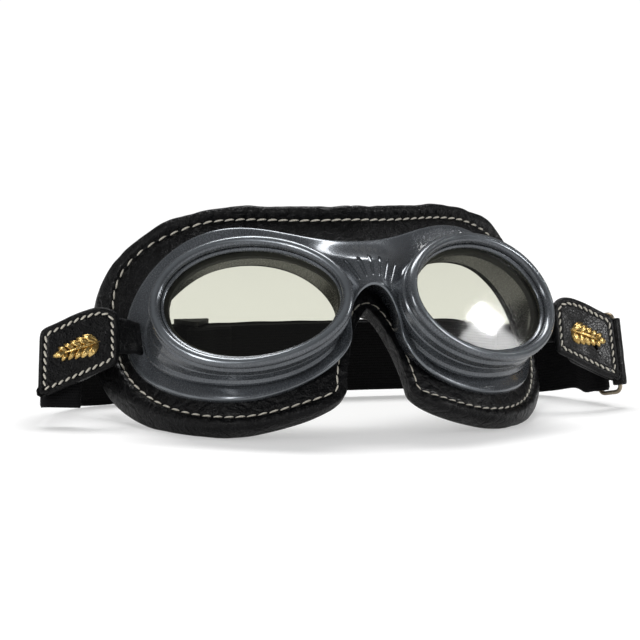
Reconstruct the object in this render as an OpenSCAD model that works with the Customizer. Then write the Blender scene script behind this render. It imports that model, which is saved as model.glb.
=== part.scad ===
// Costume goggles: a moulded two-eyecup frame on a padded leather mask,
// with leather side tabs and an elastic head band.
// The face pieces are drawn upright in the face frame and then leaned back as the
// goggles stand on a table: +X to the right as seen from the front, +Y towards the
// head, +Z up. Left and right are as seen from the front.

/* [Stance] */
// How far the eyecups lean back when the goggles stand on a table, degrees
lean = 35; // [25:0.5:45]
// How deep the padded edge is pressed flat by the table
rest_flat = 0.5; // [0.2:0.1:1]

/* [Eyecups] */
// Distance between the two eye centres
eye_pitch = 86; // [80:0.5:94]
// Angle by which each eyecup is turned outwards, degrees
cup_toe = 25; // [20:0.5:30]
// Angle by which the outer end of each opening rises, degrees
cup_roll = 13; // [8:0.5:18]
// Width of the opening inside the bead
opening_w = 64.6; // [58:0.2:70]
// Height of the opening inside the bead
opening_h = 42.2; // [38:0.2:48]
// How much fuller the outer end of the opening is than the inner end
opening_egg = 0.07; // [0:0.01:0.12]
// Width of the round bead at the front edge
bead_w = 3.9; // [3:0.1:5]
// Depth of the eyecup at its middle, from bead to flange
cup_depth = 15; // [12:0.5:18]
// How far the neck behind the bead stands outside the opening
neck_off = 2.6; // [2.2:0.1:3.4]
// Depth of the neck behind the front of the bead
neck_depth = 4.6; // [4:0.1:6]
// Width of the eyecup where it meets the flange
base_w = 63; // [60:0.2:66]
// Height of the eyecup where it meets the flange
base_h = 46; // [42:0.2:50]
// How far the foot of the eyecup sits nearer the nose than the eye centre
base_in = 2.6; // [2:0.1:3.4]
// Rise of the foot's outer end, degrees
base_roll = 15.5; // [10:0.5:20]
// How far the foot of the eyecup sits below the eye line
base_drop = 1; // [0:0.1:3]
// Wall of the eyecup
cup_wall = 1.9; // [1.4:0.1:2.4]
// Height of the moulded rib round the foot of the eyecup
rib_h = 1.1; // [0.4:0.1:1.6]

/* [Lenses] */
// Thickness of a lens
lens_t = 1.6; // [1:0.1:2.2]
// Depth of the lens seat behind the front of the bead
seat_depth = 3.8; // [3:0.1:4.4]
// Width of the lip that the lens seats on
seat_lip = 1.1; // [0.8:0.1:1.6]
// Depth of the snap ring behind the lens
snap_t = 2; // [1.2:0.1:2.6]
// Width of the snap ring
snap_w = 2; // [1.4:0.1:2.6]

/* [Moulded flange] */
// Thickness of the flange
flange_t = 2.4; // [1.8:0.1:3.2]
// Half of the flange's width
flange_half = 76.3; // [72:0.1:82]
// Top of the flange over the eye line
flange_top = 38; // [34:0.1:42]
// Top of the flange at the nose line
flange_brow = 23.7; // [20:0.1:28]
// Bottom of the flange under the eye line
flange_bottom = 30; // [27:0.1:34]
// Height of the nose arch
flange_notch = 5.5; // [2:0.1:8]
// Half width of the flange's nose gap at its foot
flange_foot = 8.8; // [8:0.1:10]
// How far the bridge between the eyecups stands forward of the flange
bridge_rise = 10.5; // [7:0.1:13]
// Half width of the bridge
bridge_half = 13; // [9:0.1:17]
// How much the bridge drops as it comes forward
bridge_droop = 0.45; // [0.2:0.01:0.6]
// Number of moulded flutes on the bridge
flutes = 7; // [3:2:9]
// Radius of a flute's groove at its top
flute_r = 0.85; // [0.4:0.05:0.9]
// Height of a side strap slot
slot_h = 14.6; // [13.5:0.1:16]
// Width of a side strap slot
slot_w = 3.2; // [2.6:0.1:4]
// Angle by which a side strap heads forward out of its slot, degrees
slot_yaw = 32; // [26:1:38]

/* [Padded mask] */
// Half of the mask's width
mask_half = 84; // [80:0.1:90]
// Top of the mask over the eye line
mask_top = 48; // [44:0.1:52]
// Top of the mask at the nose line
mask_brow = 38.5; // [34:0.1:42]
// Bottom of the mask under the eye line
mask_bottom = 40.5; // [38:0.1:43]
// Height of the mask's nose notch, below the eye line when negative
mask_notch = -2.5; // [-6:0.1:1]
// Half width of the mask's nose notch at its foot
mask_foot = 11; // [9.5:0.1:13]
// Thickness of the leather front with its rolled edge
leather_t = 2.2; // [1.6:0.1:3]
// Width of the rolled edge outside the seam
roll_w = 6.4; // [5:0.1:8]
// Height of the rolled edge over the seam
roll_h = 2.6; // [1.6:0.1:3.4]
// Thickness of the foam pad
foam_t = 4; // [3:0.1:6]
// Distance of the foam's edge inside the mask's edge
foam_inset = 4; // [3:0.1:6]
// Thickness of the lining that touches the face
lining_t = 1.3; // [1:0.1:2]
// How much thinner the padding is round the eyecups
hole_thin = 2.4; // [0:0.1:2.6]
// How strongly the sides of the mask wrap round the temples
wrap = 0.0164; // [0.008:0.0002:0.02]
// Distance from the nose line at which the wrap starts
wrap_start = 45; // [38:0.5:52]
// Radius of the mask over the nose
nose_r = 12; // [9:0.5:16]

/* [Side tabs] */
// Distance of a tab's middle from the nose line
tab_x = 94.8; // [92:0.1:100]
// Distance of a tab's middle behind the eye line
tab_y = 36.3; // [35:0.1:40]
// Height of a tab's middle under the eye line
tab_drop = 21; // [18:0.1:24]
// Angle by which a tab turns back, degrees
tab_yaw = 17; // [10:0.5:25]
// Angle by which a tab leans back, degrees
tab_lean = 13; // [6:0.5:18]
// Length of a tab
tab_l = 28.4; // [26:0.1:32]
// Height of a tab's outer end
tab_outer_h = 23.6; // [20:0.1:26]
// Height of a tab's inner end
tab_inner_h = 18; // [16:0.1:22]
// Drop of a tab's outer end below its inner end
tab_fall = 11.5; // [8:0.1:15]
// Thickness of one layer of tab leather
tab_t = 1.5; // [1.2:0.1:2]
// How far a tab's backing stops short of its inner end
backing_in = 7.6; // [6:0.1:9]
// Height of a side strap
strap_h = 12.8; // [10:0.1:13.2]
// Thickness of a side strap
strap_t = 1.5; // [1.2:0.1:2]
// Length of the gilt sprig on a tab
sprig_l = 18.6; // [15:0.1:20]
// Width of the gilt sprig
sprig_w = 8.2; // [6:0.1:10]
// Thickness of the gilt sprig
sprig_t = 1.3; // [1:0.1:2]
// How far the sprig's outer end droops, degrees
sprig_turn = 19; // [0:1:24]
// Radius of the two pins behind a sprig
pin_r = 0.6; // [0.5:0.05:0.9]

/* [Wire ring] */
// Radius of the ring's wire
wire_r = 0.8; // [0.7:0.05:1]
// Distance between the ring's two bars
ring_w = 9.4; // [8.6:0.1:11]
// Radius of the ring's corners
ring_corner = 2.4; // [2:0.1:2.8]
// Height of the leather fold round the ring
fold_h = 25; // [18:0.1:25.4]
// Running clearance of the ring in the leather fold
ring_clear = 0.35; // [0.2:0.05:0.6]
// Room for the ring's bar to swing in the loop of the elastic
ring_play = 1.5; // [1.4:0.1:2]

/* [Elastic band] */
// Height of the elastic
band_h = 27; // [26.4:0.1:28]
// Thickness of the elastic
band_t = 1.5; // [1.2:0.1:2]
// Distance of the back run behind the eye line
band_y = 78.5; // [77:0.1:90]
// Gap between the two layers of the elastic
band_gap = 0.3; // [0.2:0.05:0.6]
// Length of the elastic that is sewn down at an end
sewn_l = 10; // [8:0.5:13]
// Radius of the elastic's turn behind the left tab
turn_r = 4; // [3:0.1:5]

/* [Slider] */
// Distance of the slider from the nose line, to the left
slider_x = 44; // [36:0.5:48]
// Width of the slider along the band
slider_w = 13; // [11:0.1:16]
// Wall of the slider
slider_wall = 1.6; // [1.3:0.1:2.2]
// Radius of the slider's cross-bar
bar_r = 1.1; // [0.9:0.05:1.4]
// Clearance of the elastic inside the slider
slider_clear = 0.3; // [0.2:0.05:0.5]

/* [Hidden] */
$fn = 64;
// Clearance between pieces that lie on each other
lay = 0.3;
cut = 60;
eye_x = eye_pitch / 2;
face_slope = tan(cup_toe);
face_y0 = cup_depth / cos(cup_toe) - eye_x * face_slope;
cup_steps = 40;
seat_fit = 0.15;
mask_front = flange_t + 0.05;
// Points on each part of an outline: brow, outer top, outer bottom, lower inner, nose
arc_steps = [8, 9, 10, 7, 8];
nose_steps = 4;
bead_r = bead_w / 2;
// How far the flange runs into the eyecup's wall
root_in = cup_wall * 0.35;

// Small helpers
function lerp(a, b, t) = a + (b - a) * t;
function spin(p, angle) = [p[0] * cos(angle) - p[1] * sin(angle), p[0] * sin(angle) + p[1] * cos(angle)];
function smooth(t) = let (c = max(0, min(1, t))) c * c * (3 - 2 * c);
function power_cos(t, p) = pow(max(0, cos(t)), 2 / p);
function power_sin(t, p) = pow(max(0, sin(t)), 2 / p);

// The surface that the flange and the mask lie on, as a distance back at each x
function face_y(x) = face_y0 + face_slope * norm([x, nose_r]) + wrap * pow(max(0, abs(x) - wrap_start), 2);

// Right half of an outline in the face frame, from the brow round to the nose
// o: half width, top, brow, bottom, notch, foot, then the shape values
function outline(o) = let (
    half = o[0], top = o[1], brow = o[2], bottom = -o[3], notch = o[4], foot = o[5],
    top_x = o[6], side_z = o[7], low_x = o[8], foot_z = o[9], full = o[10],
    n = arc_steps)
    concat(
        [for (i = [0:n[0] - 1]) let (t = i / n[0])
            [top_x * t, lerp(brow, top, (1 - cos(180 * t)) / 2)]],
        [for (i = [0:n[1] - 1]) let (t = 90 * i / n[1])
            [top_x + (half - top_x) * power_sin(t, full[0]), side_z + (top - side_z) * power_cos(t, full[0])]],
        [for (i = [0:n[2] - 1]) let (t = 90 * i / n[2])
            [low_x + (half - low_x) * power_cos(t, full[1]), side_z + (bottom - side_z) * power_sin(t, full[1])]],
        [for (i = [0:n[3] - 1]) let (t = 90 * i / n[3])
            [low_x + (foot - low_x) * power_sin(t, full[2]), foot_z + (bottom - foot_z) * power_cos(t, full[2])]],
        [for (i = [0:n[4]]) let (t = 90 * i / n[4])
            [foot * power_cos(t, full[3]), foot_z + (notch - foot_z) * power_sin(t, full[3])]]);

// An outline moved inwards by d, staying on the nose line at both ends
function inset(pts, d) = let (last = len(pts) - 1)
    [for (i = [0:last]) let (
        a = i == 0 ? [-pts[1][0], pts[1][1]] : pts[i - 1],
        b = i == last ? [-pts[last - 1][0], pts[last - 1][1]] : pts[i + 1],
        t = (b - a) / norm(b - a))
        [i == 0 || i == last ? 0 : max(0, pts[i][0] + d * t[1]), pts[i][1] - d * t[0]]];

// A closed loop in x and z: the outline, then back up the nose line
function loop_of(pts) = concat(pts,
    [for (j = [1:nose_steps - 1]) [0, lerp(pts[len(pts) - 1][1], pts[0][1], j / nose_steps)]]);

// The foot of the right eyecup in x and z, drawn in by d
function foot_at(angle, d) = let (p = spin([(base_w / 2 - d) * cos(angle), (base_h / 2 - d) * sin(angle)], base_roll))
    [eye_x - base_in + p[0], -base_drop + p[1]];
// The same foot at the points nearest to those of a loop
function foot_loop(loop, d) = [for (p = loop) let (
    q = spin(p - [eye_x - base_in, -base_drop], -base_roll))
    foot_at(atan2(q[1] / base_h, q[0] / base_w), d)];

// A skin with two eye holes, made of rings that run round each eye.
// rings: for each ring its points in x, y, z; flags: whether it reaches the nose line
module eye_skin(rings, flags) {
    n = len(rings[0]);
    count = len(rings);
    arc = n - nose_steps + 1;
    function on_nose(k, i) = flags[k] && (i == 0 || i >= arc - 1);
    function id(side, k, i) = let (j = i % n, r = k % count)
        (side == 0 || on_nose(r, j) ? 0 : n * count) + r * n + j;
    points = concat(
        [for (ring = rings) for (p = ring) p],
        [for (ring = rings) for (p = ring) [-p[0], p[1], p[2]]]);
    faces = [for (side = [0, 1]) for (k = [0:count - 1]) for (i = [0:n - 1])
        let (j = (i + 1) % n, m = (k + 1) % count)
        if (!(on_nose(k, i) && on_nose(k, j) && on_nose(m, i) && on_nose(m, j)))
            let (quad = [id(side, k, i), id(side, k, j), id(side, m, j), id(side, m, i)])
            for (f = [[quad[0], quad[1], quad[2]], [quad[0], quad[2], quad[3]]])
                side == 0 ? f : [f[2], f[1], f[0]]];
    polyhedron(points = points, faces = faces, convexity = 8);
}

// A loop laid on the face surface, back by dy
function laid(loop, dy) = [for (p = loop) [p[0], face_y(p[0]) + dy, p[1]]];
function between(a, b, t) = [for (i = [0:len(a) - 1]) lerp(a[i], b[i], t)];

// A point of the face frame as it stands on the table, measured from the eye line
function stood(p) = [p[0], p[1] * cos(lean) + p[2] * sin(lean), p[2] * cos(lean) - p[1] * sin(lean)];
// Stands a piece of the face frame on the table
module standing() {
    translate([nose_x, eye_y, eye_h]) rotate([-lean, 0, 0]) children();
}
// Places a piece of the table frame that is measured from the eye line
module from_eye() {
    translate([nose_x, eye_y, eye_h]) children();
}
// Draws a piece of the right (+X) side on either side
module on_side(side) {
    if (side > 0) children();
    else mirror([1, 0, 0]) children();
}

// Moulded frame

flange_shape = [flange_half, flange_top, flange_brow, flange_bottom, flange_notch, flange_foot,
    46, 8, 40, -10, [2.2, 1.9, 2.1, 2]];

// How far the bridge stands forward of the flange at x, z
function bridge_at(x, z) = let (
    edge = lerp(flange_brow, flange_top, (1 - cos(180 * min(1, abs(x) / 46))) / 2))
    bridge_rise * exp(-pow(x / bridge_half, 2)) * smooth((edge - z) / 9.5);
function flange_front(p, back) = let (r = bridge_at(p[0], p[1]))
    [p[0], face_y(p[0]) - r + back, p[1] - bridge_droop * r];
function flange_ring(loop, back) = [for (p = loop) flange_front(p, back)];

// A point of the right eyecup: outside the opening by off, at a depth behind the bead's front
function cup_point(angle, off, depth) = let (
    a = opening_w / 2 + off, b = opening_h / 2 + off,
    p = spin([a * cos(angle), b * sin(angle) * (1 + opening_egg * cos(angle))], cup_roll))
    [eye_x + p[0] * cos(cup_toe) - depth * sin(cup_toe), p[0] * sin(cup_toe) + depth * cos(cup_toe), p[1]];
function foot_point(angle, d, back) = let (p = foot_at(angle, d)) [p[0], face_y(p[0]) + back, p[1]];
// The wall of the eyecup, from the neck (t = 0) to the foot (t = 1), standing out by bulge
function wall_point(angle, t, bulge) = let (out = spin([cos(angle), sin(angle)], cup_roll))
    lerp(cup_point(angle, neck_off, neck_depth), foot_point(angle, 0, 0), t)
    + bulge * [out[0] * cos(cup_toe), out[0] * sin(cup_toe), out[1]];
function round_cup(list) = [for (ring = list) [for (i = [0:cup_steps - 1]) let (angle = 360 * i / cup_steps)
    ring[0] == "cup" ? cup_point(angle, ring[1], ring[2])
        : ring[0] == "wall" ? wall_point(angle, ring[1], ring[2])
        : foot_point(angle, ring[1], ring[2])]];

// The front of the flange where it runs into the middle of the eyecup's wall
function wall_root(p) = let (
    q = spin(p - [eye_x - base_in, -base_drop], -base_roll),
    angle = atan2(q[1] / base_h, q[0] / base_w),
    foot = foot_point(angle, 0, 0), rise = bridge_at(foot[0], foot[2]),
    tall = foot[1] - cup_point(angle, neck_off, neck_depth)[1])
    wall_point(angle, 1 - rise / tall, -root_in) + [0, 0.6, 0];
// The front of the flange, t of the way from its flat edge to the eyecup's wall
function flange_web(flat, hole, t) = [for (i = [0:len(flat) - 1])
    flange_front(lerp(flat[i], hole[i], t), -0.1 * (1 - t))
        + t * (wall_root(hole[i]) - flange_front(hole[i], 0))];

module flange_skin() {
    edge = loop_of(outline(flange_shape));
    soft = loop_of(inset(outline(flange_shape), 0.8));
    flat = loop_of(inset(outline(flange_shape), 2.6));
    hole = foot_loop(loop_of(inset(outline(flange_shape), -2)), root_in);
    eye_skin(
        [laid(edge, flange_t), flange_ring(edge, 0.8), flange_ring(soft, 0), flange_ring(flat, -0.1),
            flange_web(flat, hole, 0.35), flange_web(flat, hole, 0.7), flange_web(flat, hole, 1),
            laid(hole, flange_t), laid(between(hole, edge, 0.25), flange_t),
            laid(between(hole, edge, 0.5), flange_t), laid(between(hole, edge, 0.75), flange_t)],
        [true, true, true, true, false, false, false, false, false, false, false]);
}

// A closed tube through a stack of rings, whose last ring joins the first
module ring_stack(rings) {
    n = len(rings[0]);
    count = len(rings);
    points = [for (ring = rings) for (p = ring) p];
    faces = [for (k = [0:count - 1]) for (i = [0:n - 1]) let (j = (i + 1) % n, m = (k + 1) % count)
        for (f = [[k * n + i, m * n + j, m * n + i], [k * n + i, k * n + j, m * n + j]]) f];
    polyhedron(points = points, faces = faces, convexity = 8);
}

function bead(angle) = ["cup", bead_r * (1 - cos(angle)), bead_r * (1 - sin(angle))];

module cup_body() {
    ring_stack(round_cup(concat(
        [for (angle = [0:30:210]) bead(angle)],
        [["wall", 0, 0], ["wall", 0.2, 0.6], ["wall", 0.33, 0.9], ["wall", 0.42, 0.1],
            ["wall", 0.68, 0], ["wall", 0.78, rib_h * 0.8], ["wall", 0.88, rib_h],
            ["wall", 0.96, rib_h * 0.4], ["wall", 1, 0], ["foot", 0, flange_t - 0.6],
            ["foot", cup_wall, flange_t - 0.6], ["foot", cup_wall, -4],
            ["cup", 0, seat_depth + lens_t + snap_t + 0.6], ["cup", 0, seat_depth],
            ["cup", -seat_lip, seat_depth], ["cup", -seat_lip, seat_depth - 0.8],
            ["cup", 0, seat_depth - 1.2]])));
}

// The slot for a side strap, in the flange beside the outer foot of the eyecup.
// A point of the strap there: out from the slot's middle and back from the flange's front
slot_x = eye_x - base_in + base_w / 2 * cos(base_roll) + slot_w * 0.6;
slot_z = -base_drop + base_w / 2 * sin(base_roll);
slot_dir = [cos(slot_yaw), -sin(slot_yaw)];
function at_slot(t) = [slot_x + t * slot_dir[0], face_y(slot_x) + t * slot_dir[1], slot_z];

module strap_slot() {
    translate(at_slot(1)) rotate([0, 0, -slot_yaw])
        hull() for (z = [-1, 1]) translate([0, 0, z * (slot_h - slot_w) / 2])
            rotate([0, 90, 0]) cylinder(d = slot_w, h = 11, center = true, $fn = 12);
}

// A tapered groove of the fan of flutes on the bridge, sunk along the surface in steps
flute_parts = 3;
module flute(i) {
    top = [i * 3.9, 16.4 - 0.5 * abs(i)];
    low = [i * 2.3, 9 - 0.35 * i * i];
    module dip(t) {
        translate(flange_front(lerp(top, low, t), 0.06)) sphere(flute_r * lerp(1, 0.62, t), $fn = 8);
    }
    for (k = [0:flute_parts - 1]) hull() {
        dip(k / flute_parts);
        dip((k + 1) / flute_parts);
    }
}

module frame() {
    color([0.25, 0.29, 0.33]) standing() difference() {
        union() {
            flange_skin();
            for (side = [1, -1]) on_side(side) cup_body();
        }
        for (side = [1, -1]) on_side(side) strap_slot();
        for (i = [-(flutes - 1) / 2:(flutes - 1) / 2]) flute(i);
    }
}

// Lenses and their snap rings

// The outline of the bore, drawn in by d, in the plane of the lens
module bore_shape(d) {
    polygon([for (i = [0:cup_steps - 1]) let (t = 360 * i / cup_steps)
        [(opening_w / 2 - d) * cos(t), (opening_h / 2 - d) * sin(t) * (1 + opening_egg * cos(t))]]);
}
// A flat piece in the right eyecup, from a depth behind the bead's front
module in_cup(depth, thick) {
    translate([eye_x, 0, 0]) rotate([0, 0, cup_toe]) rotate([0, -cup_roll, 0])
        translate([0, depth + thick, 0]) rotate([90, 0, 0]) linear_extrude(thick) children();
}
module lens(side) {
    color([0.93, 0.92, 0.86, 0.35]) standing() on_side(side)
        in_cup(seat_depth + 0.05, lens_t) bore_shape(seat_fit);
}
module snap_ring(side) {
    color([0.12, 0.12, 0.13]) standing() on_side(side)
        in_cup(seat_depth + lens_t + 0.1, snap_t) difference() {
            bore_shape(seat_fit);
            bore_shape(seat_fit + snap_w);
        }
}
module lens_left() { lens(-1); }
module lens_right() { lens(1); }
module snap_ring_left() { snap_ring(-1); }
module snap_ring_right() { snap_ring(1); }

// Padded mask

mask_shape = [mask_half, mask_top, mask_brow, mask_bottom, mask_notch, mask_foot,
    52, 12, 40, -31, [3.3, 2, 2.2, 1.4]];
// The rolled edge is narrower round the nose
function roll_share(p) = p[1] > side_low ? 1 : lerp(nose_share, 1, smooth((p[0] - 8) / 18));
function mask_loop(d) = let (pts = outline(mask_shape), all = inset(pts, d))
    loop_of([for (i = [0:len(pts) - 1]) lerp(pts[i], all[i], roll_share(pts[i]))]);
// How far the mask's holes sit inside the foot of the eyecups
mask_hole = 0.8;
side_low = 12;
nose_share = 0.42;

mask_back = mask_front + leather_t;
mask_edge = mask_back + foam_t + lining_t;
// The rolled edge, from the back round its crown to the seam
mask_roll = [laid(mask_loop(1.2), mask_edge - 0.4), laid(mask_loop(0), lerp(mask_front, mask_edge, 0.6)),
    laid(mask_loop(0.4), mask_front - roll_h * 0.3), laid(mask_loop(roll_w * 0.3), mask_front - roll_h),
    laid(mask_loop(roll_w * 0.62), mask_front - roll_h * 0.9), laid(mask_loop(roll_w * 0.9), mask_front - 0.3)];
// Height of the eye line over the table, with the rolled edge pressed flat where it stands
eye_h = -min([for (ring = mask_roll) for (p = ring) stood(p)[2]]) - rest_flat;

module mask_leather() {
    inner = mask_loop(roll_w + 1.6);
    hole = foot_loop(inner, mask_hole);
    pocket = mask_loop(foam_inset - lay - 0.6);
    color([0.1, 0.1, 0.12]) difference() {
        standing() eye_skin(
            concat(mask_roll, [laid(mask_loop(roll_w), mask_front + 0.5), laid(inner, mask_front),
                laid(between(inner, hole, 0.5), mask_front), laid(hole, mask_front), laid(hole, mask_back),
                laid(between(hole, inner, 0.6), mask_back), laid(pocket, mask_back),
                laid(pocket, mask_edge - 0.4)]),
            [true, true, true, true, true, true, true, true, false, false, false, false, true, true]);
        table_cut();
    }
}
module table_cut() {
    translate([0, 0, -cut / 2]) cube([300, 300, cut], center = true);
}
module foam_pad() {
    y0 = mask_back + lay;
    y1 = mask_back + foam_t;
    rim = mask_loop(foam_inset);
    hole = foot_loop(rim, mask_hole);
    color([0.2, 0.2, 0.2]) standing() eye_skin(
        [laid(rim, y0), laid(between(rim, hole, 0.5), y0), laid(hole, y0), laid(hole, y1 - hole_thin),
            laid(between(hole, rim, 0.5), y1), laid(rim, y1)],
        [true, false, false, false, false, true]);
}
module face_lining() {
    y0 = mask_back + foam_t + lay;
    y1 = mask_edge;
    rim = mask_loop(foam_inset - 0.3);
    crown = mask_loop(foam_inset + 3);
    hole = foot_loop(rim, mask_hole);
    color([0.16, 0.15, 0.15]) difference() {
        standing() eye_skin(
            [laid(rim, y0), laid(between(rim, hole, 0.5), y0 + 0.2), laid(hole, y0 + 0.2 - hole_thin),
                laid(hole, y1 - hole_thin), laid(between(hole, rim, 0.5), y1 + 1.2), laid(crown, y1 + 1),
                laid(rim, y1)],
            [true, false, false, false, false, true, true]);
        table_cut();
    }
}

// Side straps and tabs

// The tab's own directions as it stands: out along it, back through it and up
tab_along = [cos(tab_yaw), sin(tab_yaw), 0];
tab_back = [-sin(tab_yaw) * cos(tab_lean), cos(tab_yaw) * cos(tab_lean), -sin(tab_lean)];
tab_up = [-sin(tab_yaw) * sin(tab_lean), cos(tab_yaw) * sin(tab_lean), cos(tab_lean)];
function tab_point(p) = [tab_x, tab_y, -tab_drop] + p[0] * tab_along + p[1] * tab_back + p[2] * tab_up;
// Places a piece in the plane of the right tab: x out, y back, z up, from the tab's middle
module on_tab() {
    translate([tab_x, tab_y, -tab_drop]) rotate([0, 0, tab_yaw]) rotate([-tab_lean, 0, 0]) children();
}
tab_in = -tab_l / 2;
tab_out = tab_l / 2;
tab_inner_z = tab_inner_h / 2;
tab_outer_z = tab_outer_h / 2;
// The tab's corners, from the inner foot round by its peak to the outer foot
tab_shape = [[tab_in, -tab_inner_z + tab_fall * 0.32], [tab_in + 0.6, tab_inner_z + tab_fall * 0.3],
    [tab_in + 5, tab_inner_z + tab_fall * 0.5], [tab_in + 9, tab_inner_z + tab_fall * 0.48],
    [tab_in + 16, tab_inner_z + tab_fall * 0.26], [tab_out - 5, tab_outer_z - tab_fall * 0.32],
    [tab_out, tab_outer_z - tab_fall * 0.62], [tab_out, -tab_outer_z - tab_fall * 0.36],
    [tab_out - 6, -tab_outer_z - tab_fall * 0.18]];
// The strap lies between the tab's front and its backing
strap_room = strap_t / 2 + lay / 2;
module tab_layer(back) {
    translate([0, back + tab_t, 0]) rotate([90, 0, 0]) linear_extrude(tab_t) children();
}
sprig_pins = [-4.6, 4.4];
module at_sprig() {
    translate([0.6, 0, -0.4]) rotate([0, sprig_turn, 0]) children();
}
module pin_holes(r) {
    at_sprig() for (x = sprig_pins) translate([x, 0, 0]) rotate([90, 0, 0]) cylinder(r = r, h = 12, center = true);
}
module tab(side) {
    color([0.1, 0.1, 0.12]) from_eye() on_side(side) on_tab() difference() {
        tab_layer(-tab_t - strap_room) polygon(tab_shape);
        pin_holes(pin_r + 0.05);
        if (side > 0) fold_place(fold_z) cylinder(r = fold_r + 0.05, h = fold_h + 2, center = true);
    }
}
// The fold of the right tab's backing round the ring
fold_in_r = wire_r + ring_clear;
fold_r = fold_in_r + tab_t;
fold_x = tab_out + fold_r - 0.8;
fold_y = fold_r - tab_t - strap_t / 2;
fold_z = -tab_fall * 0.62;
module fold_place(z) {
    translate([fold_x, fold_y, z]) children();
}
module tab_backing(side) {
    color([0.09, 0.09, 0.1]) from_eye() on_side(side) on_tab() difference() {
        union() {
            tab_layer(strap_room) difference() {
                polygon(tab_shape);
                translate([tab_in - 1, -tab_l]) square([backing_in + 1, 2 * tab_l]);
            }
            if (side > 0) fold_place(fold_z) cylinder(r = fold_r, h = fold_h, center = true);
        }
        if (side > 0) fold_place(fold_z) cylinder(r = fold_in_r, h = fold_h + 10, center = true);
    }
}
module tab_left() { tab(-1); }
module tab_right() { tab(1); }
module tab_backing_left() { tab_backing(-1); }
module tab_backing_right() { tab_backing(1); }

// A flat strap through stations, each with its middle and the direction of its height
module ribbon(stations, height, thick) {
    n = len(stations);
    points = [for (i = [0:n - 1]) let (
        a = stations[max(0, i - 1)], b = stations[min(n - 1, i + 1)],
        mid = stations[i][0], up = stations[i][1], side = cross(b[0] - a[0], up), out = side / norm(side))
        for (c = [[-1, -1], [1, -1], [1, 1], [-1, 1]]) mid + c[0] * height / 2 * up + c[1] * thick / 2 * out];
    faces = concat(
        [[0, 1, 2], [0, 2, 3]],
        [for (i = [0:n - 2]) for (c = [0:3]) let (d = (c + 1) % 4, a = 4 * i, b = a + 4)
            for (f = [[a + c, b + d, a + d], [a + c, b + c, b + d]]) f],
        [[4 * n - 4, 4 * n - 2, 4 * n - 3], [4 * n - 4, 4 * n - 1, 4 * n - 2]]);
    polyhedron(points = points, faces = faces, convexity = 6);
}

// The strap from its anchored end in the frame's slot, out behind the tab's inner end and
// in between its layers. In the tab's own directions the bend is told as out and back.
strap_end = 3;
strap_low = 4.8;
strap_bend = [[-16.4, 5.4], [-13.6, 3.3], [-10.8, 1.5], [backing_in + tab_in - 0.8, 0.2]];
strap_route = concat(
    [for (t = [-1.4, 1, 3]) [stood(at_slot(t)), stood([0, 0, 1])]],
    [for (i = [0:3]) let (p = strap_bend[i], up = lerp(stood([0, 0, 1]), tab_up, 0.4 + 0.2 * i))
        [tab_point([p[0], p[1], strap_low]), up / norm(up)]],
    [for (x = [backing_in + tab_in + 1.2, strap_end]) [tab_point([x, 0, strap_low]), tab_up]]);
module side_strap(side) {
    color([0.12, 0.12, 0.13]) from_eye() on_side(side) ribbon(strap_route, strap_h, strap_t);
}
module side_strap_left() { side_strap(-1); }
module side_strap_right() { side_strap(1); }

// Gilt sprig: a stem with paired pointed leaves
leaf_pairs = 5;
module leaf(l, w) {
    r = (l * l / 4 + w * w / 4) / w;
    intersection() {
        translate([l / 2, r - w / 2]) circle(r);
        translate([l / 2, w / 2 - r]) circle(r);
    }
}
module sprig_shape() {
    translate([-sprig_l / 2, -0.45]) square([sprig_l * 0.8, 0.9]);
    for (i = [0:leaf_pairs - 1]) let (x = -sprig_l * 0.4 + i * sprig_l * 0.15, grow = 1 - 0.09 * i)
        for (s = [-1, 1]) translate([x, 0]) rotate(s * 38) leaf(sprig_w * 0.72 * grow, sprig_w * 0.3 * grow);
    translate([sprig_l * 0.22, 0]) leaf(sprig_l * 0.28, sprig_w * 0.28);
}
module sprig(side) {
    color([0.83, 0.66, 0.3]) from_eye() on_side(side) on_tab() at_sprig() {
        translate([0, -tab_t - strap_room - 0.02, 0]) rotate([90, 0, 0]) linear_extrude(sprig_t) sprig_shape();
        for (x = sprig_pins) translate([x, -strap_room - 0.02, 0]) rotate([90, 0, 0])
            cylinder(r = pin_r, h = tab_t + 0.5);
    }
}
module sprig_left() { sprig(-1); }
module sprig_right() { sprig(1); }

// Wire ring in the fold of the right tab, with the elastic looped round its outer bar
ring_in_h = band_h + 2 * ring_clear;
ring_z = fold_z - ring_clear;
ring_turn = 106;
// The outer bar in the tab's own directions
bar_at = [fold_x + ring_w * cos(ring_turn), fold_y + ring_w * sin(ring_turn)];
module wire_ring() {
    c = ring_corner;
    half_h = ring_in_h / 2 + wire_r;
    color([0.55, 0.5, 0.42]) from_eye() on_tab() fold_place(ring_z) rotate([0, 0, ring_turn]) {
        for (x = [0, ring_w]) translate([x, 0, 0]) cylinder(r = wire_r, h = 2 * (half_h - c), center = true);
        for (z = [-1, 1]) translate([c, 0, z * half_h]) rotate([0, 90, 0]) cylinder(r = wire_r, h = ring_w - 2 * c);
        for (x = [0, 1]) for (z = [0, 1])
            translate([x * ring_w + (x == 0 ? c : -c), 0, (z == 0 ? -1 : 1) * (half_h - c)])
                rotate([90, 0, 0]) rotate([0, 0, x == 0 ? (z == 0 ? 180 : 90) : (z == 0 ? 270 : 0)])
                    rotate_extrude(angle = 90) translate([c, 0]) circle(wire_r);
    }
}

// Elastic band. It is sewn behind the left tab, runs round the back, loops round the
// ring and comes back as a second layer, whose end is sewn round the slider's cross-bar.

layer_off = band_t + band_gap;
slider_lift = slider_wall + slider_clear + 0.2;
run_end = 56;
// The band stands on the table beside the slider's run, over which it is lifted clear
lift_fade = 18;
function band_z(x) = -eye_h + band_h / 2 + slider_lift * (1 - smooth((abs(x) - run_end) / lift_fade));
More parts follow.
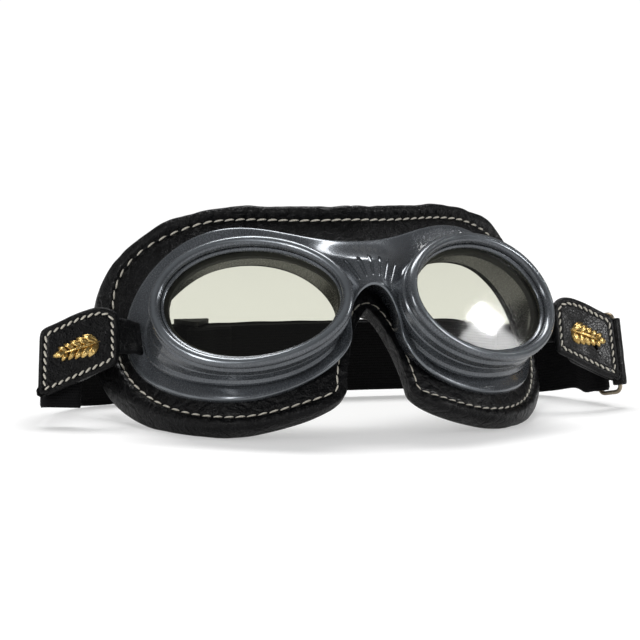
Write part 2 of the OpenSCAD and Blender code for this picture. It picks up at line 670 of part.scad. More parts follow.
// Route from the middle of the back round the right side, as x and y from the eye line
side_route = [[run_end, band_y], [run_end + 9, band_y - 0.2], [run_end + 20, band_y - 1.6],
    [run_end + 32, band_y - 6.2], [run_end + 40.5, band_y - 13], [run_end + 45.5, band_y - 21]];
side_turn = [0, 0.02, 0.08, 0.25, 0.5, 0.8];
function along_at(i) = let (n = len(side_route), t = side_route[min(n - 1, i + 1)] - side_route[max(0, i - 1)])
    t / norm(t);
// A station of the side route, moved towards the head by off
function side_at(i, off) = let (t = along_at(i), p = side_route[i] + off * [t[1], -t[0]],
    up = lerp([0, 0, 1], tab_up, side_turn[i]),
    z = lerp(band_z(p[0]), band_at_tab, smooth(side_turn[i])))
    [[p[0], p[1], z], up / norm(up)];
band_at_tab = tab_point([tab_out, 8, ring_z])[2];
function flip(list) = [for (i = [len(list) - 1:-1:0]) list[i]];
function mirrored(list) = [for (s = list) [[-s[0][0], s[0][1], s[0][2]], [-s[1][0], s[1][1], s[1][2]]]];
function tab_stations(pts) = [for (p = pts) [tab_point([p[0], p[1], ring_z]), tab_up]];

// Behind the left tab: sewn flat, then turned back round turn_r
sewn_y = strap_room + tab_t + 0.1 + band_t / 2;
turn_x = tab_out - turn_r - band_t / 2 + 0.1;
sewn_part = concat([[turn_x - sewn_l, sewn_y], [turn_x, sewn_y]],
    [for (t = [15:15:90]) [turn_x + turn_r * sin(t), sewn_y + turn_r * (1 - cos(t))]]);
// Round the ring's outer bar, as an eye with room for it to swing
loop_r = wire_r + ring_play + band_t / 2;
loop_dir = 94;
// Where the two layers draw together behind the loop: how far on, and their share of its radius
loop_neck = 5;
neck_share = 0.86;
function neck_at(side) = bar_at + loop_neck * [cos(loop_dir), sin(loop_dir)]
    + side * neck_share * loop_r * [sin(loop_dir), -cos(loop_dir)];
loop_part = concat(
    [neck_at(1)],
    [for (t = [0:-20:-180]) bar_at + loop_r * [cos(loop_dir - 90 + t), sin(loop_dir - 90 + t)]],
    [neck_at(-1)]);
last_side = len(side_route) - 1;

module elastic_band() {
    color([0.07, 0.07, 0.08]) from_eye() ribbon(concat(
        mirrored(concat(tab_stations(sewn_part), [for (i = [last_side:-1:0]) side_at(i, 0)])),
        [for (i = [0:last_side]) side_at(i, 0)],
        tab_stations(loop_part),
        [for (i = [last_side:-1:2]) side_at(i, layer_off)]), band_h, band_t);
}

// The second layer, from where the band's stretch starts to the slider's cross-bar
bar_back = band_t / 2 + band_gap + band_t + slider_clear + bar_r;
eye_r = bar_r + slider_clear + band_t / 2;
module elastic_return() {
    y = band_y - layer_off;
    sew_y = band_y - bar_back;
    pts = concat([for (i = [2:-1:0]) side_at(i, layer_off)[0]], [[-slider_x, y, 0]],
        [for (t = [30:30:150]) [-slider_x - eye_r * sin(t), sew_y + eye_r * cos(t), 0]],
        [[-slider_x, sew_y - eye_r, 0], [-slider_x + 4, sew_y - eye_r * 0.8, 0],
            [-slider_x + 8, y - layer_off, 0], [-slider_x + sewn_l + 4, y - layer_off, 0]]);
    color([0.07, 0.07, 0.08]) from_eye()
        ribbon([for (p = pts) [[p[0], p[1], band_z(p[0])], [0, 0, 1]]], band_h - 0.6, band_t);
}

// Slider that sets the length of the band: a back plate and two ends that carry the cross-bar
module slider() {
    in_h = band_h + 2 * slider_clear;
    back = band_t / 2 + slider_clear;
    color([0.1, 0.1, 0.1]) from_eye() translate([-slider_x, band_y, band_z(0)]) {
        translate([-slider_w / 2, back, -in_h / 2 - slider_wall])
            cube([slider_w, slider_wall, in_h + 2 * slider_wall]);
        for (z = [-in_h / 2 - slider_wall, in_h / 2]) hull() {
            translate([-slider_w / 2, back, z]) cube([slider_w, slider_wall, slider_wall]);
            translate([0, -bar_back, z]) cylinder(r = bar_r + 1, h = slider_wall);
        }
        translate([0, -bar_back, 0]) cylinder(r = bar_r, h = in_h + 1, center = true);
    }
}

// The middle of the whole object in x and y, from the eye line
band_rear = band_y + band_t / 2 + slider_clear + slider_wall;
bead_fore = min([for (b = [0:30:210]) let (d = bead(b)) for (a = [0:9:351]) stood(cup_point(a, d[1], d[2]))[1]]);
tab_reach = max([for (p = tab_shape) tab_point([p[0], -tab_t - strap_room, p[1]])[0]]);
fold_reach = tab_point([fold_x, fold_y, fold_z - fold_h / 2])[0] + fold_r;
eye_y = -(band_rear + bead_fore) / 2;
nose_x = -(fold_reach - tab_reach) / 2;

frame();
lens_left();
lens_right();
snap_ring_left();
snap_ring_right();
mask_leather();
foam_pad();
face_lining();
side_strap_left();
side_strap_right();
tab_left();
tab_right();
tab_backing_left();
tab_backing_right();
sprig_left();
sprig_right();
wire_ring();
elastic_band();
elastic_return();
slider();
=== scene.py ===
"""Looks of the costume goggles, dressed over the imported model.

The face pieces are drawn upright in the face frame (x to the right, y to the head, z up, in
millimetres from the eye line) and then leaned back; the others stand on the table.
"""
import math

import bpy
import numpy as np
from mathutils import Matrix, Vector, noise


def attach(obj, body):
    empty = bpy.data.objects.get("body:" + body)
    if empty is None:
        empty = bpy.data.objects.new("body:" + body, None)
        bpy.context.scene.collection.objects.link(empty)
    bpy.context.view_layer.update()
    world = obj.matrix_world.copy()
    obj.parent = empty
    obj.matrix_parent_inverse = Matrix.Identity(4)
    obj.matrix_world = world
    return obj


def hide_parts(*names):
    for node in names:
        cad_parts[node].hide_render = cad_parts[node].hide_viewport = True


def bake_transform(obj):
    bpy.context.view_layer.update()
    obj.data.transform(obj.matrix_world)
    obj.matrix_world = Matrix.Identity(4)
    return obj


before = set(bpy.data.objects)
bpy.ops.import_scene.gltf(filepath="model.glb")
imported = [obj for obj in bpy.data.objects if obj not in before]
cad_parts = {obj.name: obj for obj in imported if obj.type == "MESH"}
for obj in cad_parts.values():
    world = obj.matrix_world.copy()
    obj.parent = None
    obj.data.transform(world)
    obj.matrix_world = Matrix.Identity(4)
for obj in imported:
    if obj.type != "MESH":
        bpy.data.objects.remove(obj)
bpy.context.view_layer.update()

MM = 0.001
# The eye line's middle in the shared frame, and how far the goggles lean back, in degrees
EYE_LINE = np.array([-1.9321, -30.8233, 48.7516])
LEAN = 35
UP = np.array([0, 0, 1.0])


def direction(degrees):
    """An angle's cosine and sine."""
    return np.array([math.cos(math.radians(degrees)), math.sin(math.radians(degrees))])


def matrix_of(x, y, z, place):
    """The matrix whose columns are three directions and a place."""
    return Matrix([(x[i], y[i], z[i], place[i]) for i in range(3)] + [(0, 0, 0, 1)])


def flipped(side):
    """Factors that mirror a point to the left for side -1."""
    return np.array([side, 1, 1])


def word_of(side):
    return "right" if side > 0 else "left"


def fresh(add, **settings):
    """A new object by one of Blender's primitives."""
    bpy.ops.object.select_all(action="DESELECT")
    add(**settings)
    return bpy.context.object


# Camera: its place in metres, its direction in degrees, and its lens

CAMERA_PLACE = (-0.27323, -0.88832, 0.16345)
CAMERA_AZIMUTH, CAMERA_ELEVATION, CAMERA_ROLL = -16.48, 7.8, 1.0
LENS_LENGTH, SENSOR_WIDTH = 146.6, 36


def place_camera():
    """The photograph's own view: low, a little from the left, through a long lens."""
    ahead, left = direction(CAMERA_AZIMUTH)
    flat, down = direction(CAMERA_ELEVATION)
    c, s = direction(CAMERA_ROLL)
    look = Vector((-left * flat, ahead * flat, -down))
    level = Vector((ahead, left, 0))
    above = level.cross(look)
    across = level * c + above * s
    above = above * c - level * s
    data = bpy.data.cameras.new("camera")
    data.lens, data.sensor_width = LENS_LENGTH, SENSOR_WIDTH
    data.clip_start, data.clip_end = 0.05, 60
    camera = bpy.data.objects.new("camera", data)
    camera.matrix_world = matrix_of(across, above, -look, CAMERA_PLACE)
    bpy.context.scene.collection.objects.link(camera)
    bpy.context.scene.camera = camera


place_camera()


# Materials

class Amount:
    """A value or colour over a surface; sums and products of values add Math nodes."""

    def __init__(self, finish, socket):
        self.finish, self.socket = finish, socket

    def maths(self, operation, *others):
        return self.finish.node("ShaderNodeMath", {"operation": operation}, dict(enumerate(others)))

    def __add__(self, other):
        return self.maths("ADD", self, other)

    def __sub__(self, other):
        return self.maths("SUBTRACT", self, other)

    def __rsub__(self, other):
        return self.maths("SUBTRACT", other, self)

    def __mul__(self, other):
        return self.maths("MULTIPLY", self, other)

    __radd__ = __add__

    def wave(self, length):
        """0 to 1 and back along this value, once each length."""
        return self.maths("SINE", self * (2 * math.pi / length)) * 0.5 + 0.5

    def within(self, low, high):
        """0 below low, 1 above high and smooth in between."""
        return self.finish.node("ShaderNodeMapRange", {"interpolation_type": "SMOOTHSTEP"},
                                {"Value": self, "From Min": low, "From Max": high})


class Finish:
    """A node material for one of the goggles' finishes."""

    def __init__(self, name, **sockets):
        self.material = bpy.data.materials.new(name)
        self.material.use_nodes = True
        self.tree = self.material.node_tree
        self.shader = self.tree.nodes["Principled BSDF"]
        self.place = self.node("ShaderNodeTexCoord", out="Object")
        self.put(**sockets)

    def node(self, kind, settings=None, sockets=None, out=0):
        made = self.tree.nodes.new(kind)
        for key, value in (settings or {}).items():
            setattr(made, key, value)
        for key, value in (sockets or {}).items():
            self.feed(made.inputs[key], value)
        return Amount(self, made.outputs[out])

    def feed(self, socket, value):
        if isinstance(value, Amount):
            self.tree.links.new(value.socket, socket)
        elif isinstance(value, tuple) and len(value) == 3 and socket.type == "RGBA":
            socket.default_value = (*value, 1)
        else:
            socket.default_value = value

    def put(self, **sockets):
        named = {socket.name.lower().replace(" ", "_"): socket for socket in self.shader.inputs}
        for key, value in sockets.items():
            self.feed(named[key], value)

    def cloud(self, size, detail=2.0, rough=0.5):
        """Soft noise whose lumps are about size millimetres."""
        return self.node("ShaderNodeTexNoise", sockets={
            "Vector": self.place, "Scale": 1 / (size * MM), "Detail": detail, "Roughness": rough})

    def cells(self, size, feature="F1", where=None):
        """Cells of about size millimetres, as on leather."""
        return self.node("ShaderNodeTexVoronoi", {"feature": feature}, {
            "Vector": where or self.place, "Scale": 1 / (size * MM)})

    def blend(self, share, first, second):
        """A colour that goes from first to second."""
        return self.node("ShaderNodeMix", {"data_type": "RGBA"}, {0: share, 6: first, 7: second}, out=2)

    def raised(self, height, depth):
        """The material, with its surface bumped by height times depth millimetres."""
        self.put(normal=self.node("ShaderNodeBump", sockets={
            "Height": height, "Distance": depth * MM, "Strength": 1.0}))
        return self.material


def moulded_gunmetal():
    """Blue-grey moulded plastic, semi-gloss; paler on its crests, partly rubbed wear and partly a painted
    highlight, and paler inside the cups, partly its own tone and partly painted light.
    """
    f = Finish("moulded_gunmetal", metallic=0.6, coat_roughness=0.1)
    broad, fine = f.cloud(14, 3), f.cloud(0.5, 4, 0.7)
    crest = f.node("ShaderNodeAttribute", {"attribute_name": "crest"}, out="Fac")
    # Paler crests: partly rubbed wear, partly a painted highlight along the bead, the step, the rib and the
    # flange's edge.
    worn = (crest * (0.6 + broad * 0.6)).within(0.55, 1.05)
    body = f.blend(broad.within(0.3, 0.7), (0.094, 0.103, 0.115), (0.125, 0.136, 0.15))
    # Inside the cups the colour is lighter: partly the walls' own taupe tone, partly painted light standing
    # in for the light on the inner walls.
    inside = (crest * -1.0).within(0.1, 0.9)
    f.put(base_color=f.blend(inside, f.blend(worn, body, (0.2, 0.22, 0.24)), (0.24, 0.235, 0.222)),
          roughness=0.16 + fine * 0.1 + (1 - worn) * 0.06, coat_weight=0.4 + broad * 0.3)
    return f.raised(fine + broad * 1.5, 0.03)


def black_leather(name="black_leather", grain=0.9, crumple=1.0, wear=(0.0045, 0.0044, 0.0055)):
    """Fine-grained black leather, glossy on its grain and wrinkles, greyer where it is rubbed."""
    f = Finish(name, specular_ior_level=0.22, coat_roughness=0.16)
    grain_cells = f.cells(grain, "DISTANCE_TO_EDGE").within(0.0, 0.3)
    creases, broad, pores = f.cloud(3.4, 5, 0.62), f.cloud(22, 3), f.cloud(0.28, 2)
    bent = f.node("ShaderNodeVectorMath", {"operation": "ADD"}, {
        0: f.place, 1: f.node("ShaderNodeVectorMath", {"operation": "SCALE"}, {
            0: f.node("ShaderNodeTexNoise", sockets={"Vector": f.place, "Scale": 120.0}, out="Color"),
            "Scale": 0.006})})
    wrinkles = f.cells(6.5, "DISTANCE_TO_EDGE", where=bent).within(0.0, 0.16)
    rubbed = (grain_cells * creases * 1.7).within(0.6, 1.05)
    f.put(base_color=f.blend(rubbed, (0.0009, 0.0009, 0.0013), wear),
          roughness=0.17 + broad * 0.1 + pores * 0.1 + (1 - grain_cells * wrinkles) * 0.14,
          coat_weight=broad.within(0.35, 0.7) * grain_cells * 0.4)
    folds = creases * (2.4 * crumple)
    return f.raised(grain_cells * 0.4 + folds + pores * 0.2 + wrinkles * (0.9 * crumple), 0.24)


def open_foam():
    """Grey-brown open-cell foam."""
    f = Finish("open_foam", sheen_weight=0.3)
    pores, lumps = f.cells(0.7), f.cloud(3, 3)
    f.put(base_color=f.blend(pores.within(0.1, 0.6), (0.10, 0.092, 0.08), (0.26, 0.245, 0.215)),
          roughness=0.85 + lumps * 0.12)
    return f.raised(pores + lumps * 0.6, 0.35)


def brushed_lining():
    """Soft charcoal lining cloth with a short brushed nap."""
    f = Finish("brushed_lining", sheen_weight=0.7, sheen_roughness=0.4, sheen_tint=(0.6, 0.58, 0.56, 1))
    nap, tufts, broad = f.cloud(0.35, 3, 0.7), f.cloud(1.6, 3), f.cloud(18, 2)
    f.put(base_color=f.blend(nap * 0.6 + broad * 0.4, (0.012, 0.0115, 0.012), (0.055, 0.052, 0.052)),
          roughness=0.78 + nap * 0.18)
    return f.raised(nap + tufts * 0.8, 0.22)


def woven_elastic(length):
    """Black elastic: fine cords along it and the weft that wraps them."""
    f = Finish("woven_elastic", sheen_weight=0.015, sheen_roughness=0.5, specular_ior_level=0.12)
    uv = f.node("ShaderNodeUVMap", {"uv_map": "UVMap"})
    u, v = (f.node("ShaderNodeSeparateXYZ", sockets={0: uv}, out=axis) for axis in (0, 1))
    round_it, run = u * (2 * (BAND_H + BAND_T)), v * length
    cords, weft = round_it.wave(1.05), (run + round_it.wave(2.1) * 0.32).wave(0.64)
    fluff, broad = f.cloud(0.4, 3, 0.7), f.cloud(16, 2)
    knit = cords * 0.65 + weft * 0.35
    f.put(base_color=f.blend(knit * 0.55 + fluff * 0.45, (0.0012, 0.0012, 0.0015), (0.0085, 0.0083, 0.0092)),
          roughness=0.72 + fluff * 0.2 - broad * 0.06)
    return f.raised(knit + fluff * 0.35, 0.2)


def waxed_thread():
    """Twisted cream sewing thread."""
    f = Finish("cream_thread", sheen_weight=0.2)
    twist = f.node("ShaderNodeTexWave", {"bands_direction": "DIAGONAL"}, {
        "Vector": f.place, "Scale": 900.0, "Distortion": 2.0}, out="Fac")
    fibre = f.cloud(0.2, 2)
    f.put(base_color=f.blend(twist * 0.6 + fibre * 0.4, (0.5, 0.46, 0.37), (0.88, 0.85, 0.76)),
          roughness=0.62 + fibre * 0.25)
    return f.raised(twist, 0.05)


def gilt_metal():
    """Cast gilt metal, hammered, with darker hollows."""
    f = Finish("gilt_metal", metallic=1.0)
    dents, fine = f.cells(0.75), f.cloud(0.3, 4, 0.65)
    hollows = (f.cloud(2.2, 3) * 0.6 + dents * 0.6).within(0.2, 0.85)
    f.put(base_color=f.blend(hollows, (0.95, 0.72, 0.3), (0.42, 0.26, 0.08)), roughness=0.17 + fine * 0.2)
    return f.raised(dents * -1.0 + fine * 0.3, 0.1)


def drawn_wire():
    """Dull bronze-grey wire with fine drawing marks."""
    f = Finish("drawn_wire", metallic=1.0)
    marks, patches = f.cloud(0.25, 4, 0.7), f.cloud(3.5, 3)
    f.put(base_color=f.blend(patches.within(0.35, 0.7), (0.42, 0.36, 0.27), (0.24, 0.19, 0.13)),
          roughness=0.3 + marks * 0.2)
    return f.raised(marks, 0.04)


def grained_plastic(name="black_plastic", low=(0.006, 0.006, 0.0065), high=(0.015, 0.015, 0.016)):
    """Black plastic with a fine moulded grain."""
    f = Finish(name, specular_ior_level=0.5)
    grain, broad = f.cells(0.45), f.cloud(7, 3)
    f.put(base_color=f.blend(broad, low, high), roughness=0.4 + grain * 0.2)
    return f.raised(grain, 0.05)


def clear_lens():
    """A clear plastic lens with a faint warm tint, and gloss that grows at a slant."""
    f = Finish("clear_lens")
    haze = f.cloud(26, 3)
    clear = f.node("ShaderNodeBsdfTransparent", sockets={"Color": (0.803, 0.806, 0.745)})
    gloss = f.node("ShaderNodeBsdfGlossy", sockets={"Color": (1.0, 1.0, 1.0), "Roughness": 0.035})
    front = 1 - f.node("ShaderNodeNewGeometry", out="Backfacing")
    share = f.node("ShaderNodeFresnel", sockets={"IOR": 1.49}) * (0.92 + haze * 0.16) * front
    both = f.node("ShaderNodeMixShader", sockets={0: share, 1: clear, 2: gloss})
    f.tree.links.new(both.socket, f.tree.nodes["Material Output"].inputs["Surface"])
    return f.material


GUNMETAL = moulded_gunmetal()
LEATHER = black_leather()
TAB_LEATHER = black_leather("tab_leather", crumple=0.4)
STRAP_LEATHER = black_leather("strap_leather", grain=0.7, crumple=0.5, wear=(0.012, 0.0118, 0.013))
FOAM = open_foam()
LINING = brushed_lining()
THREAD = waxed_thread()
GILT = gilt_metal()
WIRE = drawn_wire()
PLASTIC = grained_plastic()
SNAP_PLASTIC = grained_plastic("snap_ring_plastic", (0.03, 0.031, 0.033), (0.06, 0.06, 0.062))
LENS = clear_lens()


# Stage: a white table, soft boxes and a white room

# How bright the room is as light on a surface, in a mirror and to the camera
ROOM_LIGHT, ROOM_MIRRORED, ROOM_SEEN = 0.36, 0.13, 1.0
# The table's white under the goggles, its own glow there, and what the glow gains further out
TABLE_WHITE, GLOW_NEAR, GLOW_GAIN = 0.62, 0.38, 0.66


def bright_share(finish):
    """1 for rays from the camera or through a lens, which see the plain white room, less for mirrors."""
    seen = finish.node("ShaderNodeLightPath", out="Is Camera Ray")
    through_lens = finish.node("ShaderNodeLightPath", out="Is Transmission Ray")
    mirrored = finish.node("ShaderNodeLightPath", out="Is Glossy Ray")
    return seen + through_lens * (1 - seen) + mirrored * (1 - seen) * 0.3


def lay_table():
    table = fresh(bpy.ops.mesh.primitive_plane_add, size=60)
    table.name = "table"
    table.data.transform(Matrix.Translation((0, 0, -0.00005)))
    f = Finish("white_table", roughness=0.9, specular_ior_level=0.0, emission_color=(1.0, 1.0, 1.0))
    away = f.node("ShaderNodeVectorMath", {"operation": "LENGTH"}, {0: f.place}, out="Value").within(0.3, 0.9)
    f.put(base_color=f.blend(away, (TABLE_WHITE,) * 3, (0.0, 0.0, 0.0)))
    f.put(emission_strength=bright_share(f) * (away * GLOW_GAIN + GLOW_NEAR))
    table.data.materials.append(f.material)


def light_room():
    world = bpy.data.worlds.new("white_room")
    bpy.context.scene.world = world
    world.use_nodes = True
    tree = world.node_tree
    background = tree.nodes["Background"]
    background.inputs["Color"].default_value = (1, 1, 1, 1)
    paths = tree.nodes.new("ShaderNodeLightPath")
    strength = None
    for ray, level in (("Is Glossy Ray", ROOM_MIRRORED), ("Is Camera Ray", ROOM_SEEN)):
        step = tree.nodes.new("ShaderNodeMapRange")
        step.inputs["To Min"].default_value, step.inputs["To Max"].default_value = ROOM_LIGHT, level
        if strength:
            tree.links.new(strength, step.inputs["To Min"])
        tree.links.new(paths.outputs[ray], step.inputs["Value"])
        strength = step.outputs[0]
    tree.links.new(strength, background.inputs["Strength"])


def soft_box(name, place, aim, size, power):
    data = bpy.data.lights.new(name, "AREA")
    data.shape, data.size, data.size_y, data.energy = "RECTANGLE", size[0], size[1], power
    lamp = bpy.data.objects.new(name, data)
    lamp.location = place
    lamp.rotation_euler = (Vector(aim) - Vector(place)).to_track_quat("-Z", "Y").to_euler()
    bpy.context.scene.collection.objects.link(lamp)


lay_table()
light_room()
soft_box("top_box", (0.05, 0.4, 1.3), (0, 0, 0.03), (1.0, 0.4), 15)
soft_box("left_box", (-1.3, -0.9, 0.5), (0, 0, 0.04), (0.2, 0.7), 8)
soft_box("right_box", (1.25, -0.85, 0.5), (0, 0, 0.04), (0.2, 0.6), 7)
# Two small lamps whose mirror image stands in the right lens, a bright one and a soft one round it
soft_box("lens_spark", (0.903, -0.016, 0.547), (0.041, -0.031, 0.04), (0.012, 0.022), 0.05)
soft_box("lens_glow", (0.92, -0.026, 0.54), (0.041, -0.031, 0.04), (0.026, 0.04), 0.03)


# Shape helpers, in millimetres from the eye line

def turned(x, z, angle):
    """x and z turned by an angle in degrees."""
    c, s = direction(angle)
    return x * c - z * s, x * s + z * c


def stood(points):
    """Points of the face frame as they stand on the table."""
    p = np.asarray(points, float)
    c, s = direction(LEAN)
    return np.stack([p[..., 0], p[..., 1] * c + p[..., 2] * s, p[..., 2] * c - p[..., 1] * s], -1)


# Out of the face, as it stands on the table
AHEAD = stood([0, -1.0, 0])


def unit(v):
    return v / np.maximum(np.linalg.norm(v, axis=-1, keepdims=True), 1e-9)


def smooth(t):
    t = np.clip(t, 0, 1)
    return t * t * (3 - 2 * t)


def bell(x, middle, width):
    return np.exp(-((x - middle) / width) ** 2)


def arc_lengths(points, closed=False):
    """Distance along a line of points at each of them, and its whole length."""
    line = np.concatenate([points, points[:1]]) if closed else points
    steps = np.linalg.norm(np.diff(line, axis=0), axis=1)
    total = np.concatenate([[0], np.cumsum(steps)])
    return total[:len(points)], total[-1]


def evenly(points, count, closed=False):
    """The same line through count points at equal distances."""
    line = np.concatenate([points, points[:1]]) if closed else points
    s, total = arc_lengths(line)
    at = np.linspace(0, total, count, endpoint=not closed)
    return np.stack([np.interp(at, s, line[:, i]) for i in range(line.shape[1])], -1)


def through(points, spacing):
    """A smooth curve through points, about spacing apart. Columns past the third ride along."""
    p = np.asarray(points, float)
    p = np.concatenate([[2 * p[0] - p[1]], p, [2 * p[-1] - p[-2]]])
    out = []
    for i in range(1, len(p) - 2):
        q = p[i - 1:i + 3]
        knots = np.concatenate([[0], np.cumsum(np.sqrt(np.linalg.norm(np.diff(q[:, :3], axis=0), axis=1)))])
        count = max(2, int(np.linalg.norm(q[2, :3] - q[1, :3]) / spacing))
        for t in np.linspace(knots[1], knots[2], count, endpoint=False):
            a = [q[k] + (q[k + 1] - q[k]) * (t - knots[k]) / (knots[k + 1] - knots[k]) for k in range(3)]
            b = [a[k] + (a[k + 1] - a[k]) * (t - knots[k]) / (knots[k + 2] - knots[k]) for k in range(2)]
            out.append(b[0] + (b[1] - b[0]) * (t - knots[1]) / (knots[2] - knots[1]))
    return np.array(out + [p[-2]])


def lumps(points, size, seed):
    """Steady noise from -1 to 1 at each point, with lumps of about size."""
    shift = Vector((seed, 2 * seed, -seed))
    values = [noise.noise(Vector(p) / size + shift) for p in points.reshape(-1, 3)]
    return np.array(values).reshape(points.shape[:-1])


# Mesh helpers

# In metres: points this near are merged, and points this near the nose line lie on it
MERGE_WITHIN, ON_NOSE_LINE = 2e-6, 1e-6


def middles(rings):
    """Rings drawn in to their middle points, which close a swept form's ends."""
    return [np.repeat(ring.mean(0, keepdims=True), len(ring), 0) for ring in rings]


def only(piece):
    bpy.ops.object.select_all(action="DESELECT")
    piece.select_set(True)
    bpy.context.view_layer.objects.active = piece


def apply_modifier(piece, kind, **settings):
    only(piece)
    bpy.ops.object.modifier_add(type=kind)
    modifier = piece.modifiers[-1]
    for key, value in settings.items():
        setattr(modifier, key, value)
    bpy.ops.object.modifier_apply(modifier=modifier.name)


def shade(piece, sharp=None):
    """Smooth shading, but not over edges sharper than a given angle in degrees."""
    only(piece)
    if sharp:
        bpy.ops.object.shade_smooth_by_angle(angle=math.radians(sharp))
    else:
        bpy.ops.object.shade_smooth()


def switch_to(mode):
    bpy.ops.object.mode_set(mode=mode)


def in_edit_mode(piece, change):
    """Makes a change in edit mode with all of a piece selected."""
    only(piece)
    switch_to("EDIT")
    bpy.ops.mesh.select_all(action="SELECT")
    change()
    switch_to("OBJECT")


def face_outwards(piece):
    in_edit_mode(piece, lambda: bpy.ops.mesh.normals_make_consistent(inside=False))


def open_nose_line(piece):
    """Deletes the faces that a half piece has in the nose line's plane."""
    switch_to("EDIT")
    bpy.ops.mesh.select_mode(type="FACE")
    bpy.ops.mesh.select_all(action="DESELECT")
    switch_to("OBJECT")
    on_line = [abs(v.co.x) < ON_NOSE_LINE for v in piece.data.vertices]
    for face in piece.data.polygons:
        face.select = all(on_line[i] for i in face.vertices)
    switch_to("EDIT")
    bpy.ops.mesh.delete(type="FACE")
    bpy.ops.mesh.select_mode(type="VERT")
    switch_to("OBJECT")


def close_up(piece, mirrored=False, sharp=None):
    """Merges what meets, mirrors a half across the nose line and turns the faces outwards."""
    in_edit_mode(piece, lambda: bpy.ops.mesh.remove_doubles(threshold=MERGE_WITHIN))
    if mirrored:
        open_nose_line(piece)
        apply_modifier(piece, "MIRROR", use_clip=True, merge_threshold=MERGE_WITHIN)
    face_outwards(piece)
    shade(piece, sharp)
    return piece


def lay_through(name, rings, along=True, crests=None, **closing):
    """Lays a grid primitive through rings of points, each closed; along closes the row of rings too.

    Crests say how far each ring is a crest painted paler, partly as rubbed wear and partly as a painted
    highlight; below 0 the ring is inside an eyecup, painted paler there too.
    """
    rings = np.asarray(rings, float)
    rings = np.concatenate([rings, rings[:, :1]], 1)
    if along:
        rings = np.concatenate([rings, rings[:1]], 0)
    rows, columns = rings.shape[:2]
    piece = fresh(bpy.ops.mesh.primitive_grid_add, x_subdivisions=columns - 1, y_subdivisions=rows - 1)
    piece.name = piece.data.name = name
    piece.data.vertices.foreach_set("co", (rings * MM).ravel())
    if crests:
        layer = piece.data.attributes.new("crest", "FLOAT", "POINT")
        layer.data.foreach_set("value", np.repeat(np.float32(crests + crests[:1]), columns))
    return close_up(piece, **closing)


def paint(piece, finish):
    piece.data.materials.clear()
    piece.data.materials.append(finish)


def dress(piece, finish, slot, *nodes, body="goggles"):
    """Moves a piece from the eye line to its place, paints it, hangs it on its body and hides the CAD nodes
    it stands for.
    """
    piece.data.transform(Matrix.Translation(Vector(EYE_LINE * MM)))
    paint(piece, finish)
    if body:
        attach(piece, body)
    if nodes:
        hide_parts(*nodes)


def joined(parts, into):
    """Joins parts to one of them."""
    bpy.ops.object.select_all(action="DESELECT")
    for part in parts:
        part.select_set(True)
    bpy.context.view_layer.objects.active = into
    bpy.ops.object.join()
    return bpy.context.object


def copies(model, name, places):
    """Copies of a small model, each with its own mesh, joined as one piece."""
    made = []
    for place in places:
        part = model.copy()
        part.data = model.data.copy()
        part.data.transform(place)
        bpy.context.scene.collection.objects.link(part)
        made.append(part)
    bpy.data.objects.remove(model)
    piece = joined(made, made[-1])
    piece.name = piece.data.name = name
    return piece


def place_of(point, along, out, slant):
    """A matrix that puts a small model's x along and its z out of a surface, in metres."""
    along, out = unit(along), unit(out)
    across = unit(np.cross(out, along))
    c, s = math.cos(slant), math.sin(slant)
    along, across = along * c + across * s, across * c - along * s
    return matrix_of(along, across, np.cross(along, across), point * MM)


# Face forms, by most of the part's own measures

EYE_X, TOE, ROLL = 43.0, 25.0, 13.0
OPENING_W, OPENING_H, EGG = 64.6, 42.2, 0.07
BEAD_R, NECK_OFF, NECK_DEPTH, CUP_DEPTH = 1.95, 2.6, 4.6, 15.0
FOOT_W, FOOT_H, FOOT_IN, FOOT_ROLL, FOOT_DROP, FOOT_LIFT = 63.0, 46.0, 2.6, 15.5, 1.0, 2.2
WALL, RIB_H = 1.9, 1.1
SEAT_DEPTH, SEAT_LIP, LENS_T, SNAP_T = 3.8, 1.1, 1.6, 2.0
FLANGE_T, FLANGE_BROW, FLANGE_TOP, FLANGE_TOP_X = 2.4, 23.7, 38.0, 46
BRIDGE_RISE, BRIDGE_HALF, BRIDGE_DROOP, BRIDGE_FADE = 10.5, 13, 0.45, 9.5
FACE_SLOPE = math.tan(math.radians(TOE))
FACE_START = CUP_DEPTH / direction(TOE)[0] - EYE_X * FACE_SLOPE
NOSE_R, WRAP, WRAP_START = 12.0, 0.0164, 45.0
# How far behind the face surface the mask's layers start and end
MASK_FRONT, MASK_BACK, FOAM_FRONT, FOAM_BACK, LINING_FRONT, LINING_BACK = 2.45, 4.65, 4.95, 8.6, 8.95, 9.95
# What outline() takes: half width, top, brow, depth below, notch over the nose, foot beside it,
# where the top, the side, the bottom and the foot lie, and how full the four curves are
FLANGE_FORM = (76.3, FLANGE_TOP, FLANGE_BROW, 30.0, 5.5, 8.8, FLANGE_TOP_X, 8, 40, -10, (2.2, 1.9, 2.1, 2))
MASK_FORM = (84.0, 48.0, 38.5, 40.5, -2.5, 11.0, 52, 12, 40, -31, (3.3, 2, 2.2, 1.4))
# Points along half of the mask's outline, and steps up the nose line
MASK_POINTS, NOSE_STEPS = 330, 26
# How far the mask's seam lies inside its edge
SEAM_IN = 6.3
STITCH_PITCH, STITCH_W = 3.6, 0.74
# How far the mask's and the padding's holes sit inside the eyecups' feet (outside when negative),
# and how much thinner the padding is there
MASK_HOLE, PAD_HOLE, HOLE_THIN = 0.8, -1.4, 2.4


def face_y(x):
    """How far back the face surface lies at x."""
    return (FACE_START + FACE_SLOPE * np.hypot(x, NOSE_R)
            + WRAP * np.maximum(0, np.abs(x) - WRAP_START) ** 2)


